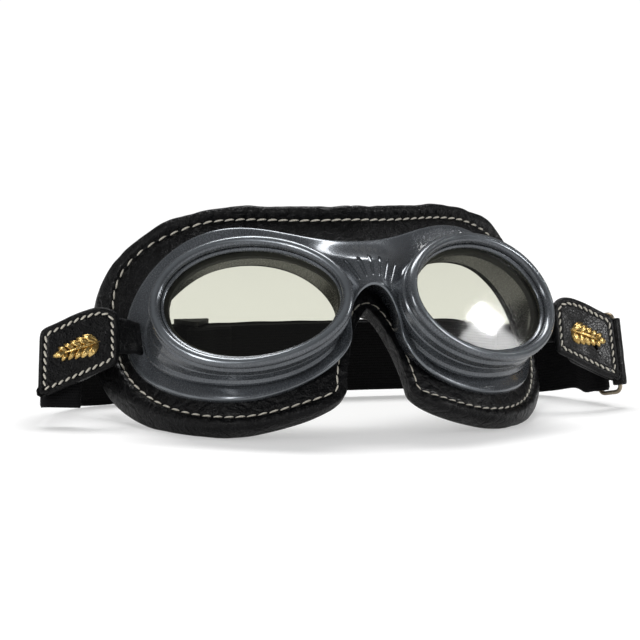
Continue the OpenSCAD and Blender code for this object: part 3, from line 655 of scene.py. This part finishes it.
def outline(form, count):
    """The right half of an outline, from the brow round to the nose, through count points."""
    half, top, brow, low, notch, foot, top_x, side_z, low_x, foot_z, full = form
    bottom = -low

    def power(turn, fullness):
        return np.maximum(0, turn) ** (2 / fullness)

    t = np.linspace(0, 1, 60)
    c, s = np.cos(t * math.pi / 2), np.sin(t * math.pi / 2)
    parts = [
        (top_x * t, brow + (top - brow) * (1 - np.cos(math.pi * t)) / 2),
        (top_x + (half - top_x) * power(s, full[0]), side_z + (top - side_z) * power(c, full[0])),
        (low_x + (half - low_x) * power(c, full[1]), side_z + (bottom - side_z) * power(s, full[1])),
        (low_x + (foot - low_x) * power(s, full[2]), foot_z + (bottom - foot_z) * power(c, full[2])),
        (foot * power(c, full[3]), foot_z + (notch - foot_z) * power(s, full[3]))]
    points = np.concatenate([np.stack(p, -1)[:-1] for p in parts] + [[[0, notch]]])
    return evenly(points, count)


def drawn_in(points, distance, share=None, closed=False):
    """An outline moved inwards by small steps, each softened so that it never crosses itself."""
    p = points
    steps = max(1, int(math.ceil(abs(distance) / 0.4)))
    step = distance / steps * (1 if share is None else share[:, None])
    for _ in range(steps):
        if closed:
            before, after = np.roll(p, 1, 0), np.roll(p, -1, 0)
        else:
            before = np.concatenate([[[-p[1, 0], p[1, 1]]], p[:-1]])
            after = np.concatenate([p[1:], [[-p[-2, 0], p[-2, 1]]]])
        tangent = unit(after - before)
        p = p + step * np.stack([tangent[:, 1], -tangent[:, 0]], -1)
        p = p * 0.8 + (before + after) * 0.1 if distance > 0.3 else p
        if not closed:
            p[:, 0] = np.maximum(p[:, 0], 0)
            p[0, 0] = p[-1, 0] = 0
    return p


def with_nose_line(points, steps):
    """Closes a half outline back up the nose line."""
    rise = np.linspace(points[-1, 1], points[0, 1], steps + 1)[1:-1]
    return np.concatenate([points, np.stack([0 * rise, rise], -1)])


def foot_at(angle, inward):
    """The right eyecup's foot at an angle in degrees, in x and z."""
    a = np.radians(angle)
    x, z = turned((FOOT_W / 2 - inward) * np.cos(a), (FOOT_H / 2 - inward) * np.sin(a), FOOT_ROLL)
    return np.stack([EYE_X - FOOT_IN + x, z - FOOT_DROP + FOOT_LIFT * np.maximum(0, np.sin(a)) ** 2], -1)


def foot_angle(points):
    x, z = turned(points[:, 0] - (EYE_X - FOOT_IN), points[:, 1] + FOOT_DROP, -FOOT_ROLL)
    return np.degrees(np.arctan2(z / FOOT_H, x / FOOT_W))


def at_depth(points, y):
    """Outline points, which have x and z, given their y."""
    return np.insert(points, 1, y, axis=1)


def on_face(points, back):
    """Outline points laid on the face surface, back by a distance."""
    return at_depth(points, face_y(points[:, 0]) + back)


def bridge_at(x, z):
    """How far the bridge stands forward of the face surface at x and z."""
    way_out = (1 - np.cos(math.pi * np.minimum(1, np.abs(x) / FLANGE_TOP_X))) / 2
    edge = FLANGE_BROW + (FLANGE_TOP - FLANGE_BROW) * way_out
    return BRIDGE_RISE * np.exp(-(x / BRIDGE_HALF) ** 2) * smooth((edge - z) / BRIDGE_FADE)


def flange_front(points, back):
    rise = bridge_at(points[:, 0], points[:, 1])
    y = face_y(points[:, 0]) - rise + back
    return np.stack([points[:, 0], y, points[:, 1] - BRIDGE_DROOP * rise], -1)


def cup_point(angle, off, depth):
    """A point of the right eyecup, off outside its opening and depth behind the bead's front."""
    a, (c, s) = np.radians(angle), direction(TOE)
    x, z = turned((OPENING_W / 2 + off) * np.cos(a),
                  (OPENING_H / 2 + off) * np.sin(a) * (1 + EGG * np.cos(a)), ROLL)
    return np.stack([EYE_X + x * c - depth * s, x * s + depth * c, z], -1)


def wall_point(angle, t, bulge):
    """A point of the eyecup's wall, from the neck (t = 0) to the foot (t = 1)."""
    a, (c, s) = np.radians(angle), direction(TOE)
    x, z = turned(np.cos(a), np.sin(a), ROLL)
    out = np.stack([x * c, x * s, z], -1)
    top, foot = cup_point(angle, NECK_OFF, NECK_DEPTH), on_face(foot_at(angle, 0), 0)
    return top + (foot - top) * np.asarray(t)[..., None] + bulge * out


# Moulded frame

def eyecup(side):
    """One eyecup: round bead, stepped barrel, rib at the foot, bore and lens seat."""
    angles = np.arange(0, 360, 2)
    rings, crests = [], []
    # The crest values paint the bead's front, the step and the rib paler: partly rubbed wear, partly a
    # painted highlight.
    for c, s in map(direction, range(-30, 211, 10)):
        rings.append(cup_point(angles, BEAD_R * (1 - c), BEAD_R * (1 - s)))
        crests.append(max(0, s) ** 2)
    for t in np.linspace(0, 1, 66):
        bulge = (0.85 * (smooth((t - 0.03) / 0.1) - smooth((t - 0.33) / 0.05))
                 + 0.4 * (smooth((t - 0.4) / 0.05) - smooth((t - 0.68) / 0.07))
                 + RIB_H * smooth((t - 0.74) / 0.09) * (1 - smooth((t - 0.9) / 0.1)))
        rings.append(wall_point(angles, t, bulge))
        crests.append(0.8 * bell(t, 0.86, 0.04) + 0.4 * bell(t, 0.32, 0.02))
    rings += [on_face(foot_at(angles, d), back)
              for d, back in ((0, 1.8), (WALL * 0.5, 1.9), (WALL, 1.8), (WALL, -1), (WALL, -4))]
    seat = SEAT_DEPTH + LENS_T + SNAP_T + 0.6
    rings += [cup_point(angles, off, depth) for off, depth in (
        (0, seat), (0, SEAT_DEPTH), (-SEAT_LIP, SEAT_DEPTH), (-SEAT_LIP - 0.1, SEAT_DEPTH - 0.4),
        (-SEAT_LIP + 0.2, SEAT_DEPTH - 0.9), (-0.3, SEAT_DEPTH - 1.2))]
    # Below 0 marks the bore and lens seat, painted lighter, partly as painted light on the inner walls.
    crests += [0] + [-1] * 6 + [0] * 4
    return lay_through("eyecup_" + word_of(side), stood(rings) * flipped(side), crests=crests, sharp=50)


def flange():
    """The wide flange that joins the eyecups, with its raised bridge."""
    edge = outline(FLANGE_FORM, 200)
    line = [with_nose_line(drawn_in(edge, d), 40) for d in (0.0, 0.25, 0.8, 1.6, 2.6)]
    flat = line[-1]
    angle = foot_angle(flat)
    hole = foot_at(angle, WALL * 0.35)
    foot = on_face(foot_at(angle, 0), 0)
    rise = bridge_at(foot[:, 0], foot[:, 2])
    tall = foot[:, 1] - cup_point(angle, NECK_OFF, NECK_DEPTH)[:, 1]
    root = wall_point(angle, 1 - rise / tall, -WALL * 0.35) + np.array([0, 0.6, 0])
    lift = root - flange_front(hole, 0)
    rings = [on_face(line[1], FLANGE_T), on_face(line[0], FLANGE_T - 0.3)]
    rings += [flange_front(loop, back) for loop, back in zip(line, (0.9, 0.35, 0.0, -0.08, -0.1))]
    # The flange's edge is painted paler as a crest: partly rubbed wear, partly a painted highlight.
    crests = [0, 0.2, 0.8, 1, 0.6, 0.2, 0]
    for t in np.linspace(0, 1, 27)[1:]:
        rings.append(flange_front(flat + (hole - flat) * t, -0.1 * (1 - t)) + t * lift)
        crests.append(0)
    for share in (0, 0.5):
        rings.append(on_face(hole + (line[1] - hole) * share, FLANGE_T))
        crests.append(0)
    return lay_through("flange", stood(rings), crests=crests, mirrored=True)


def flute_cutter():
    """The fan of tapered grooves on the bridge, as the shapes that cut them."""
    tools = []
    turn = np.linspace(0, 2 * math.pi, 14, endpoint=False)[:, None]
    for i in range(-3, 4):
        top, low = np.array([i * 3.9, 16.4 - 0.5 * abs(i)]), np.array([i * 2.3, 9 - 0.35 * i * i])
        share = np.linspace(-0.09, 1.06, 19)
        line = stood(flange_front(top + (low - top) * share[:, None], 0.06))
        axis = unit(np.gradient(line, axis=0))
        across = unit(np.cross(axis, [0, 1, 0]))
        out = np.cross(axis, across)
        rings = []
        for k, t in enumerate(share):
            size = (0.88 - 0.3 * t) * math.sqrt(max(0.002, 1 - abs(2 * (t - 0.485) / 1.15) ** 4))
            rings.append(line[k] + size * (np.cos(turn) * across[k] + np.sin(turn) * out[k]))
        ends = middles([rings[0], rings[-1]])
        tools.append(lay_through("flute", ends[:1] + rings + ends[1:], along=False))
    return joined(tools, tools[0])


def make_frame():
    skin = flange()
    cutter = flute_cutter()
    apply_modifier(skin, "BOOLEAN", operation="DIFFERENCE", solver="MANIFOLD", object=cutter)
    bpy.data.objects.remove(cutter)
    shade(skin, 38)
    dress(skin, GUNMETAL, "gunmetal", "frame")
    for side in (-1, 1):
        dress(eyecup(side), GUNMETAL, "gunmetal", "frame")


# Padded mask

def mask_loops(distances, count=MASK_POINTS, nose_steps=NOSE_STEPS):
    """The mask's outline drawn in by each distance, narrower round the nose."""
    base = outline(MASK_FORM, count)
    share = np.where(base[:, 1] > 12, 1.0, 0.6 + 0.4 * smooth((base[:, 0] - 8) / 18))
    loops, last, p = {}, 0.0, base
    for d in sorted(distances):
        if d > last:
            p = drawn_in(p, d - last, share)
            last = d
        loops[d] = with_nose_line(p, nose_steps)
    return loops


def pressed(points, gap=0.02):
    """What would reach into the table is pressed flat, a small gap above it."""
    points[..., 2] = np.maximum(points[..., 2], gap - EYE_LINE[2])
    return points


def make_mask():
    """Leather front with its puffy rolled edge, pulled in at every stitch."""
    profile = through([
        (3.1, 9.6, 0), (1.6, 9.5, 0), (0.35, 8.6, 0), (0.0, 6.6, 0), (0.0, 3.6, 0), (0.5, 1.2, 0),
        (1.9, -0.25, 0), (3.9, -0.1, 0), (5.5, 1.5, 0), (SEAM_IN, 2.75, 0), (7.1, 2.35, 0),
        (8.6, 2.15, 0)], 0.75)
    distances = [max(0.0, round(float(d), 3)) for d in profile[:, 0]]
    loops = mask_loops(set(distances) | {SEAM_IN})
    seam = loops[SEAM_IN]
    s, _ = arc_lengths(seam)
    turn = 2 * math.pi * s / STITCH_PITCH
    # Round the nose the roll is flatter, so that its seam shows beside it
    half = loops[0.0][:MASK_POINTS]
    near_nose = (half[:, 1] < 12) * (1 - smooth((half[:, 0] - 12) / 14))
    flatter = np.concatenate([near_nose, np.zeros(NOSE_STEPS - 1)])
    rings = []
    for d, y in zip(distances, profile[:, 1]):
        ring = on_face(loops[d], y + flatter * max(0.0, 1.9 - y) * (0.3 < d < 6.2))
        pull = 0.3 * np.cos(turn) * bell(d, 4.7, 1.4) * (y < 4)
        ring[:, 1] += pull + 0.12 * np.cos(turn + 0.6) * bell(d, 7.5, 0.7)
        rings.append(ring)
    inner = loops[distances[-1]]
    hole = foot_at(foot_angle(inner), MASK_HOLE)
    for t in (0.1, 0.2, 0.35, 0.5, 0.7, 0.85, 1):
        puff = -0.3 * math.sin(math.pi * min(1, t * 2.2))
        rings.append(on_face(inner + (hole - inner) * t, MASK_FRONT + puff * (t < 0.45)))
    rings += [on_face(flat, MASK_BACK) for flat in (hole, hole + (inner - hole) * 0.6, loops[distances[0]])]
    rings = np.array(rings)
    shape = stood(rings)
    swell = lumps(shape, 13, 3.0) * 0.65 + lumps(shape, 5, 7.0) * 0.4
    edge = np.zeros((len(rings), 1))
    edge[:len(distances), 0] = 1 - bell(profile[:, 0], 6.6, 1.6) * (profile[:, 1] < 4)
    shape += (swell * edge)[..., None] * AHEAD
    off_nose_line = np.abs(rings[..., 0]) > 1e-6
    shape[..., 2] += swell * edge * 0.5 * np.sign(rings[..., 2]) * off_nose_line
    piece = lay_through("mask_leather_front", pressed(shape), mirrored=True)
    dress(piece, LEATHER, "black_leather", "mask_leather")
    return seam


def make_pad():
    """Foam pad and the lining that touches the face."""
    loops = mask_loops({3.7, 4.0, 4.3, 5.2}, count=150, nose_steps=14)
    rim = loops[4.3]
    holes = [foot_at(foot_angle(rim), PAD_HOLE + d) for d in (0.0, 0.25)]
    middle = rim + (holes[0] - rim) * 0.5
    foam = [on_face(loop, back) for loop, back in (
        (rim, FOAM_FRONT), (middle, FOAM_FRONT), (holes[0], FOAM_FRONT), (holes[1], 5.6),
        (holes[1], 8.1 - HOLE_THIN), (holes[0], FOAM_BACK - HOLE_THIN), (middle, FOAM_BACK),
        (rim, FOAM_BACK), (loops[4.0], 7.8), (loops[4.0], 5.7))]
    piece = lay_through("foam_pad_layer", pressed(stood(foam)), mirrored=True)
    dress(piece, FOAM, "foam", "foam_pad")

    lining = [(rim, LINING_FRONT), (middle, LINING_FRONT), (holes[0], LINING_FRONT - HOLE_THIN),
              (holes[1], 9.4 - HOLE_THIN)]
    # The side on the face: shares of the way in from the rim to the hole, and how far each puffs out
    puffs = ((0.94, -1.2), (0.82, 0.1), (0.65, 1.1), (0.45, 1.6), (0.25, 1.6), (0.12, 1.45))
    worn = [(holes[1], -0.1 - HOLE_THIN), (holes[0], 0.3 - HOLE_THIN)]
    worn += [(rim + (holes[0] - rim) * t, puff) for t, puff in puffs]
    worn += [(loops[5.2], 0.9), (loops[4.0], 0.2), (loops[3.7], -0.4)]
    lining += [(loop, LINING_BACK + puff) for loop, puff in worn]
    shape = stood([on_face(loop, back) for loop, back in lining])
    shape[5:] -= (lumps(shape, 9, 5.0) * 0.3)[5:, :, None] * AHEAD
    piece = lay_through("face_lining_cloth", pressed(shape), mirrored=True)
    dress(piece, LINING, "lining", "face_lining")


def stitch_model(length, width):
    """One stitch of thread, plump in the middle and going down at its ends."""
    model = fresh(bpy.ops.mesh.primitive_uv_sphere_add, segments=8, ring_count=6, radius=1)
    for v in model.data.vertices:
        x, y, z = v.co
        x, z = -z, x
        drop = 0.55 * width * abs(x) ** 3
        v.co = (x * length / 2 * MM, y * width / 2 * MM, (z * width / 2 - drop) * MM)
    shade(model)
    return model


def sew(name, path, lay, pitch, size, out, slant):
    """Slanted stitches round a path, which lay() puts in place with four points for each of them."""
    _, total = arc_lengths(path, closed=True)
    points = lay(evenly(path, int(total / pitch) * 4, closed=True))
    places = [place_of(points[k], points[(k + 1) % len(points)] - points[k - 1], out, slant)
              for k in range(2, len(points), 4)]
    dress(copies(stitch_model(*size), name, places), THREAD, "elastic")


def make_mask_stitches(seam):
    half = seam[:MASK_POINTS]
    whole = np.concatenate([half, (half * (-1, 1))[-2:0:-1]])
    sew("mask_stitches", whole, lambda path: stood(on_face(path, MASK_FRONT - 0.2)), STITCH_PITCH,
        (STITCH_PITCH, STITCH_W), AHEAD, 0.14)


# Side tabs

TAB_MIDDLE = np.array([94.8, 36.3, -21.0])
# How the right tab turns to the back and leans, each as a cosine and a sine
TAB_YAW, TAB_LEAN = direction(17), direction(13)
TAB_ALONG = np.array([*TAB_YAW, 0])
TAB_BACK = np.array([-TAB_YAW[1] * TAB_LEAN[0], TAB_YAW[0] * TAB_LEAN[0], -TAB_LEAN[1]])
TAB_UP = np.array([-TAB_YAW[1] * TAB_LEAN[1], TAB_YAW[0] * TAB_LEAN[1], TAB_LEAN[0]])
TAB_IN, TAB_OUT, FALL = -14.2, 14.2, 11.5
TAB_SHAPE = np.array([
    (TAB_IN, -9 + FALL * 0.32), (TAB_IN + 0.6, 9 + FALL * 0.3), (TAB_IN + 5, 9 + FALL * 0.5),
    (TAB_IN + 9, 9 + FALL * 0.48), (TAB_IN + 16, 9 + FALL * 0.26), (TAB_OUT - 5, 11.8 - FALL * 0.32),
    (TAB_OUT, 11.8 - FALL * 0.5), (TAB_OUT, -11.8 - FALL * 0.56), (TAB_OUT - 6, -11.8 - FALL * 0.36)])
TAB_POINTS, TAB_T = 150, 1.5
TAB_SEAM_IN, TAB_PITCH, TAB_STITCH_L, TAB_STITCH_W = 2.9, 2.6, 2.95, 0.8
FOLD_PLACE, FOLD_R, FOLD_H = np.array([16.05, 0.4, -7.13]), 2.65, 25.0
RING_Z, RING_W, RING_TURN, WIRE_R, RING_PLAY = -7.48, 9.4, 106, 0.8, 1.5


def on_tab(points, side=1):
    """Points told as out, back and up from a tab's middle."""
    p = np.asarray(points, float)
    placed = TAB_MIDDLE + p[..., :1] * TAB_ALONG + p[..., 1:2] * TAB_BACK + p[..., 2:3] * TAB_UP
    return placed * flipped(side)


def tab_outline(shortest=None):
    """The tab's rounded outline, from its straight-sided shape."""
    p = evenly(TAB_SHAPE, TAB_POINTS, closed=True)
    if shortest is not None:
        p[:, 0] = np.maximum(p[:, 0], shortest)
        p = evenly(p, TAB_POINTS, closed=True)
    for _ in range(14):
        p = p * 0.5 + (np.roll(p, 1, 0) + np.roll(p, -1, 0)) * 0.25
    return p


def slab(name, shape, layers, side, lump, seed):
    """A soft flat piece on a tab: its outline drawn in and set back by each layer."""
    middle = shape.mean(0)
    rings = []
    for inward, back in layers:
        flat = drawn_in(shape, min(inward, 5), closed=True) if inward > 0 else shape
        if inward > 5:
            flat = middle + (flat - middle) * max(0, 1 - (inward - 5) / 6)
        rings.append(at_depth(flat, back(flat) if callable(back) else back))
    rings = np.array(rings)
    rings[..., 1] += lump * lumps(rings, 6, seed)
    return lay_through(name, on_tab(rings, side), along=False)


def make_tab(side):
    word, shape = word_of(side), tab_outline()

    def under(flat):
        """The back of the front layer meets the backing, but parts round the strap."""
        open_end = 1 - smooth((flat[:, 0] - TAB_IN - 8) / 4)
        return -0.06 - 0.8 * open_end

    front = [(11, -0.85), (8, -0.85), (4.5, -0.85), (1.5, under), (0.4, under),
             (0.05, lambda flat: under(flat) - 0.3), (0.0, -1.3), (0.1, -1.9), (0.5, -2.45), (1.2, -2.75),
             (2.0, -2.7), (2.55, -2.4), (TAB_SEAM_IN, -2.22), (3.25, -2.4), (3.9, -2.62), (5.0, -2.6),
             (7.5, -2.5), (11, -2.5)]
    piece = slab("tab_leather_" + word, shape, front, side, 0.16, 2.0 + side)
    dress(piece, TAB_LEATHER, "black_leather", "tab_" + word)
    back_shape = tab_outline(shortest=TAB_IN + 7.6)
    backing = [(11, 2.4), (7, 2.4), (4, 2.45), (3.2, 2.3), (TAB_SEAM_IN, 2.15), (2.5, 2.3), (1.4, 2.5),
               (0.5, 2.3), (0.1, 1.9), (0.0, 1.2), (0.1, 0.4), (0.5, 0.06), (1.5, 0.06), (4.5, 0.85),
               (8, 0.85), (11, 0.85)]
    piece = slab("tab_backing_leather_" + word, back_shape, backing[::-1], side, 0.1, 5.0)
    dress(piece, TAB_LEATHER, "black_leather", "tab_backing_" + word)

    seam, steps = shape, 6
    for _ in range(steps):
        seam = evenly(drawn_in(seam, TAB_SEAM_IN / steps, closed=True), TAB_POINTS, closed=True)
    sew("tab_stitches_" + word, seam, lambda path: on_tab(at_depth(path, -2.5), side), TAB_PITCH,
        (TAB_STITCH_L, TAB_STITCH_W), -TAB_BACK * flipped(side), -0.42 * side)


def make_ring_fold():
    """The fold of the right tab's backing round the ring."""
    half, inner = FOLD_H / 2, FOLD_R - TAB_T
    profile = [(inner, -half + 0.3), (inner + 0.4, -half), (FOLD_R - 0.45, -half),
               (FOLD_R - 0.1, -half + 0.25), (FOLD_R, -half + 0.8)]
    profile += [(FOLD_R, z) for z in np.linspace(-half + 1.6, half - 1.6, 26)]
    profile += [(r, -z) for r, z in profile[4::-1]]
    outward = np.array([(*direction(a), 0) for a in np.arange(0, 360, 7.5)])
    rings = np.array([FOLD_PLACE + r * outward + z * UP for r, z in profile])
    wobble = 0.12 * lumps(rings, 3.5, 9.0)[..., None]
    keep = (np.array([r for r, _ in profile]) > FOLD_R - 0.2)[:, None, None]
    piece = lay_through("ring_fold_leather", on_tab(rings + wobble * outward * keep))
    dress(piece, TAB_LEATHER, "black_leather", "tab_backing_right")


# Straps and elastic

STRAP_H, STRAP_T, STRAP_Z, SLOT_YAW, SLOT_OFF = 12.8, 1.5, 4.8, 32, 1.92
BAND_H, BAND_T, BAND_GAP, BAND_Y, LIFT, LIFT_FADE, RUN_END = 27.0, 1.5, 0.3, 78.5, 2.1, 18, 56.0
# The band's turn behind the left tab; its loop round the ring: its direction, its neck's length and width
TURN_R, LOOP_DIR, LOOP_NECK, NECK_SHARE = 4.0, 94, 5, 0.86
SLIDER_X, SLIDER_CLEAR, BAR_R = 44.0, 0.3, 1.1
CORNER_R = 0.45


def section(height, thick, count):
    """A strap's cross-section: up its height and through its thickness, with rounded corners."""
    h, t, r = height / 2 - CORNER_R, thick / 2 - CORNER_R, CORNER_R
    points = []
    for start, (sh, st) in zip((0, 90, 180, 270), ((1, 1), (-1, 1), (-1, -1), (1, -1))):
        for c, s in map(direction, range(start, start + 91, 30)):
            points.append((sh * h + r * c, st * t + r * s))
    return evenly(np.array(points), count, closed=True)


def strip(name, stations, height, thick, spacing, count=40, waves=0.0):
    """A flat strap swept through stations, each a middle and the direction of its height."""
    line = through([np.concatenate(station) for station in stations], spacing)
    middle, up = line[:, :3], unit(line[:, 3:])
    out = unit(np.cross(unit(np.gradient(middle, axis=0)), up))
    shape = section(height, thick, count)
    rings = []
    for i in range(len(line)):
        high = 1 + waves * (noise.noise(Vector(middle[i]) / 16) * (shape[:, :1] > 0)) / height * 2
        rings.append(middle[i] + shape[:, :1] * high * up[i] + shape[:, 1:] * out[i])
    ends = middles([rings[0], rings[-1]])
    shape = pressed(np.array([ends[0], rings[0]] + rings + [rings[-1], ends[1]]), gap=0.03)
    _, length = arc_lengths(middle)
    return lay_through(name, shape, along=False), length


def tab_stations(points):
    return [(on_tab([x, y, RING_Z]), TAB_UP) for x, y in points]


def mirrored_route(route, side):
    return [(p * flipped(side), up * flipped(side)) for p, up in route]


def make_side_strap(side):
    """From a slot in the flange into the tab."""
    foot, (c, s) = direction(FOOT_ROLL) * FOOT_W / 2, direction(SLOT_YAW)
    slot_x, slot_z = EYE_X - FOOT_IN + foot[0] + SLOT_OFF, foot[1] - FOOT_DROP
    up = stood(UP)
    route = [(stood([slot_x + t * c, face_y(slot_x) - t * s, slot_z]), up) for t in (-1.4, 1, 3)]
    for i, (x, y) in enumerate(((-16.4, 5.4), (-13.6, 3.3), (-10.8, 1.5), (-7.4, 0.2))):
        turn = 0.4 + 0.2 * i
        route.append((on_tab([x, y, STRAP_Z]), unit(up + (TAB_UP - up) * turn)))
    route += [(on_tab([x, 0, STRAP_Z]), TAB_UP) for x in (-5.4, 3.0)]
    piece, _ = strip("side_strap_leather_" + word_of(side), mirrored_route(route, side), STRAP_H, STRAP_T,
                     0.8, count=36)
    dress(piece, STRAP_LEATHER, "black_leather", "side_strap_" + word_of(side))


# The band's route round the right side, as x and y, and how far it has turned to the tab's slant
SIDE_ROUTE = np.array([(56, 78.5), (65, 78.3), (76, 76.9), (88, 72.3), (96.5, 65.5), (101.5, 57.5)])
SIDE_TURN = np.array([0, 0.02, 0.08, 0.25, 0.5, 0.8])


def band_z(x):
    """The height of the band's middle: it stands on the table, but is lifted where the slider runs."""
    return -EYE_LINE[2] + BAND_H / 2 + LIFT * (1 - smooth((abs(x) - RUN_END) / LIFT_FADE))


def side_at(i, off):
    """A station of the band's side route, moved towards the head by off."""
    last = len(SIDE_ROUTE) - 1
    t = unit(SIDE_ROUTE[min(last, i + 1)] - SIDE_ROUTE[max(0, i - 1)])
    p = SIDE_ROUTE[i] + off * np.array([t[1], -t[0]])
    at_tab = on_tab([TAB_OUT, 8, RING_Z])[2]
    z = band_z(p[0]) + (at_tab - band_z(p[0])) * smooth(SIDE_TURN[i])
    up = unit(UP * (1 - SIDE_TURN[i]) + TAB_UP * SIDE_TURN[i])
    return np.array([p[0], p[1], z]), up


def make_elastic():
    """The band, sewn behind the left tab and looped round the ring, and its second layer."""
    layer = BAND_T + BAND_GAP
    sewn_y = 0.9 + TAB_T + 0.1 + BAND_T / 2
    turn_x = TAB_OUT - TURN_R - BAND_T / 2 + 0.1
    sewn = [(turn_x - 10, sewn_y), (turn_x, sewn_y)]
    sewn += [(turn_x + TURN_R * s, sewn_y + TURN_R * (1 - c)) for c, s in map(direction, range(15, 91, 15))]
    bar = FOLD_PLACE[:2] + RING_W * direction(RING_TURN)
    loop_r = WIRE_R + RING_PLAY + BAND_T / 2
    ahead, aside = direction(LOOP_DIR), -direction(LOOP_DIR + 90)
    neck = [bar + LOOP_NECK * ahead + way * NECK_SHARE * loop_r * aside for way in (1, -1)]
    loop = [bar + loop_r * direction(LOOP_DIR - 90 + a) for a in range(0, -181, -20)]
    route = mirrored_route(tab_stations(sewn) + [side_at(i, 0) for i in range(5, -1, -1)], -1)
    route += [side_at(i, 0) for i in range(6)] + tab_stations(neck[:1] + loop + neck[1:])
    route += [side_at(i, layer) for i in range(5, 1, -1)]
    piece, length = strip("elastic_band_woven", route, BAND_H, BAND_T, 1.3, waves=0.9)
    dress(piece, woven_elastic(length), "elastic", "elastic_band")

    bar_back = BAND_T / 2 + BAND_GAP + BAND_T + SLIDER_CLEAR + BAR_R
    eye_r = BAR_R + SLIDER_CLEAR + BAND_T / 2
    y, sew_y = BAND_Y - layer, BAND_Y - bar_back
    route = [side_at(i, layer)[0][:2] for i in (2, 1, 0)] + [(-SLIDER_X, y)]
    route += [(-SLIDER_X - eye_r * s, sew_y + eye_r * c) for c, s in map(direction, range(30, 151, 30))]
    route += [(-SLIDER_X, sew_y - eye_r), (-SLIDER_X + 4, sew_y - eye_r * 0.8), (-SLIDER_X + 8, y - layer),
              (-SLIDER_X + 14, y - layer)]
    route = [(np.array([px, py, band_z(px)]), UP) for px, py in route]
    piece, length = strip("elastic_return_woven", route, BAND_H - 0.6, BAND_T, 1.3)
    dress(piece, woven_elastic(length), "elastic", "elastic_return", body=None)
    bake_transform(piece)


# Gilt sprigs

SPRIG_L, SPRIG_W, SPRIG_TURN = 18.6, 8.2, 19


def leaf_model():
    """One plump pointed leaf with a sunken midrib, 1 long and 1 wide, lying along x."""
    model = fresh(bpy.ops.mesh.primitive_uv_sphere_add, segments=20, ring_count=14, radius=0.5)
    for v in model.data.vertices:
        x, y, z = -v.co.z, v.co.y, v.co.x
        pinch = max(0.02, 1 - (2 * x) ** 2) ** 0.42
        y, z = y * pinch, z * pinch
        rib = 0.13 * math.exp(-(y / 0.07) ** 2) * (z > 0)
        veins = 0.03 * math.cos(2 * math.pi * (x * 5 - abs(y) * 3)) * (z > 0)
        v.co = (x + 0.5, y, max(z, -0.1) - rib + veins)
    face_outwards(model)
    shade(model)
    return model


def make_sprig(side):
    """Paired leaves on a stem, as on the solid, with full cast leaves."""
    length, width, flip = SPRIG_L, SPRIG_W, flipped(side)

    def placed(x, z, angle, size, thick):
        """The matrix of a leaf whose root is at x and z on the tab, at an angle in degrees."""
        (x, z), (c, s) = turned(x, z, -SPRIG_TURN), direction(angle - SPRIG_TURN)
        along, across = TAB_ALONG * c + TAB_UP * s, TAB_UP * c - TAB_ALONG * s
        return matrix_of(along * size[0] * MM * flip, across * size[1] * MM * flip,
                         -TAB_BACK * thick * MM * flip, on_tab([x + 0.6, -2.45, z - 0.4]) * MM * flip)

    places = []
    for i in range(5):
        x, grow = -length * 0.4 + i * length * 0.15, 1 - 0.09 * i
        for way in (-1, 1):
            size = width * 0.78 * grow, width * 0.36 * grow
            places.append(placed(x - 0.3, way * 0.15, way * 38, size, 2.2 + 0.1 * i))
    places.append(placed(length * 0.2, 0, 0, (length * 0.3, width * 0.34), 2.6))
    places.append(placed(-length / 2, 0, 0, (length * 0.86, 1.3), 2.9))
    piece = copies(leaf_model(), "sprig_gilt_" + word_of(side), places)
    face_outwards(piece)
    dress(piece, GILT, "gilt", "sprig_" + word_of(side))


# All pieces, and the CAD pieces that keep their shape

make_frame()
make_mask_stitches(make_mask())
make_pad()
for way in (-1, 1):
    make_tab(way)
    make_side_strap(way)
    make_sprig(way)
make_ring_fold()
make_elastic()
for kept, finish in (("lens_left", LENS), ("lens_right", LENS), ("snap_ring_left", SNAP_PLASTIC),
                     ("snap_ring_right", SNAP_PLASTIC), ("wire_ring", WIRE), ("slider", PLASTIC)):
    paint(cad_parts[kept], finish)

bpy.context.scene.view_settings.view_transform = "Standard"
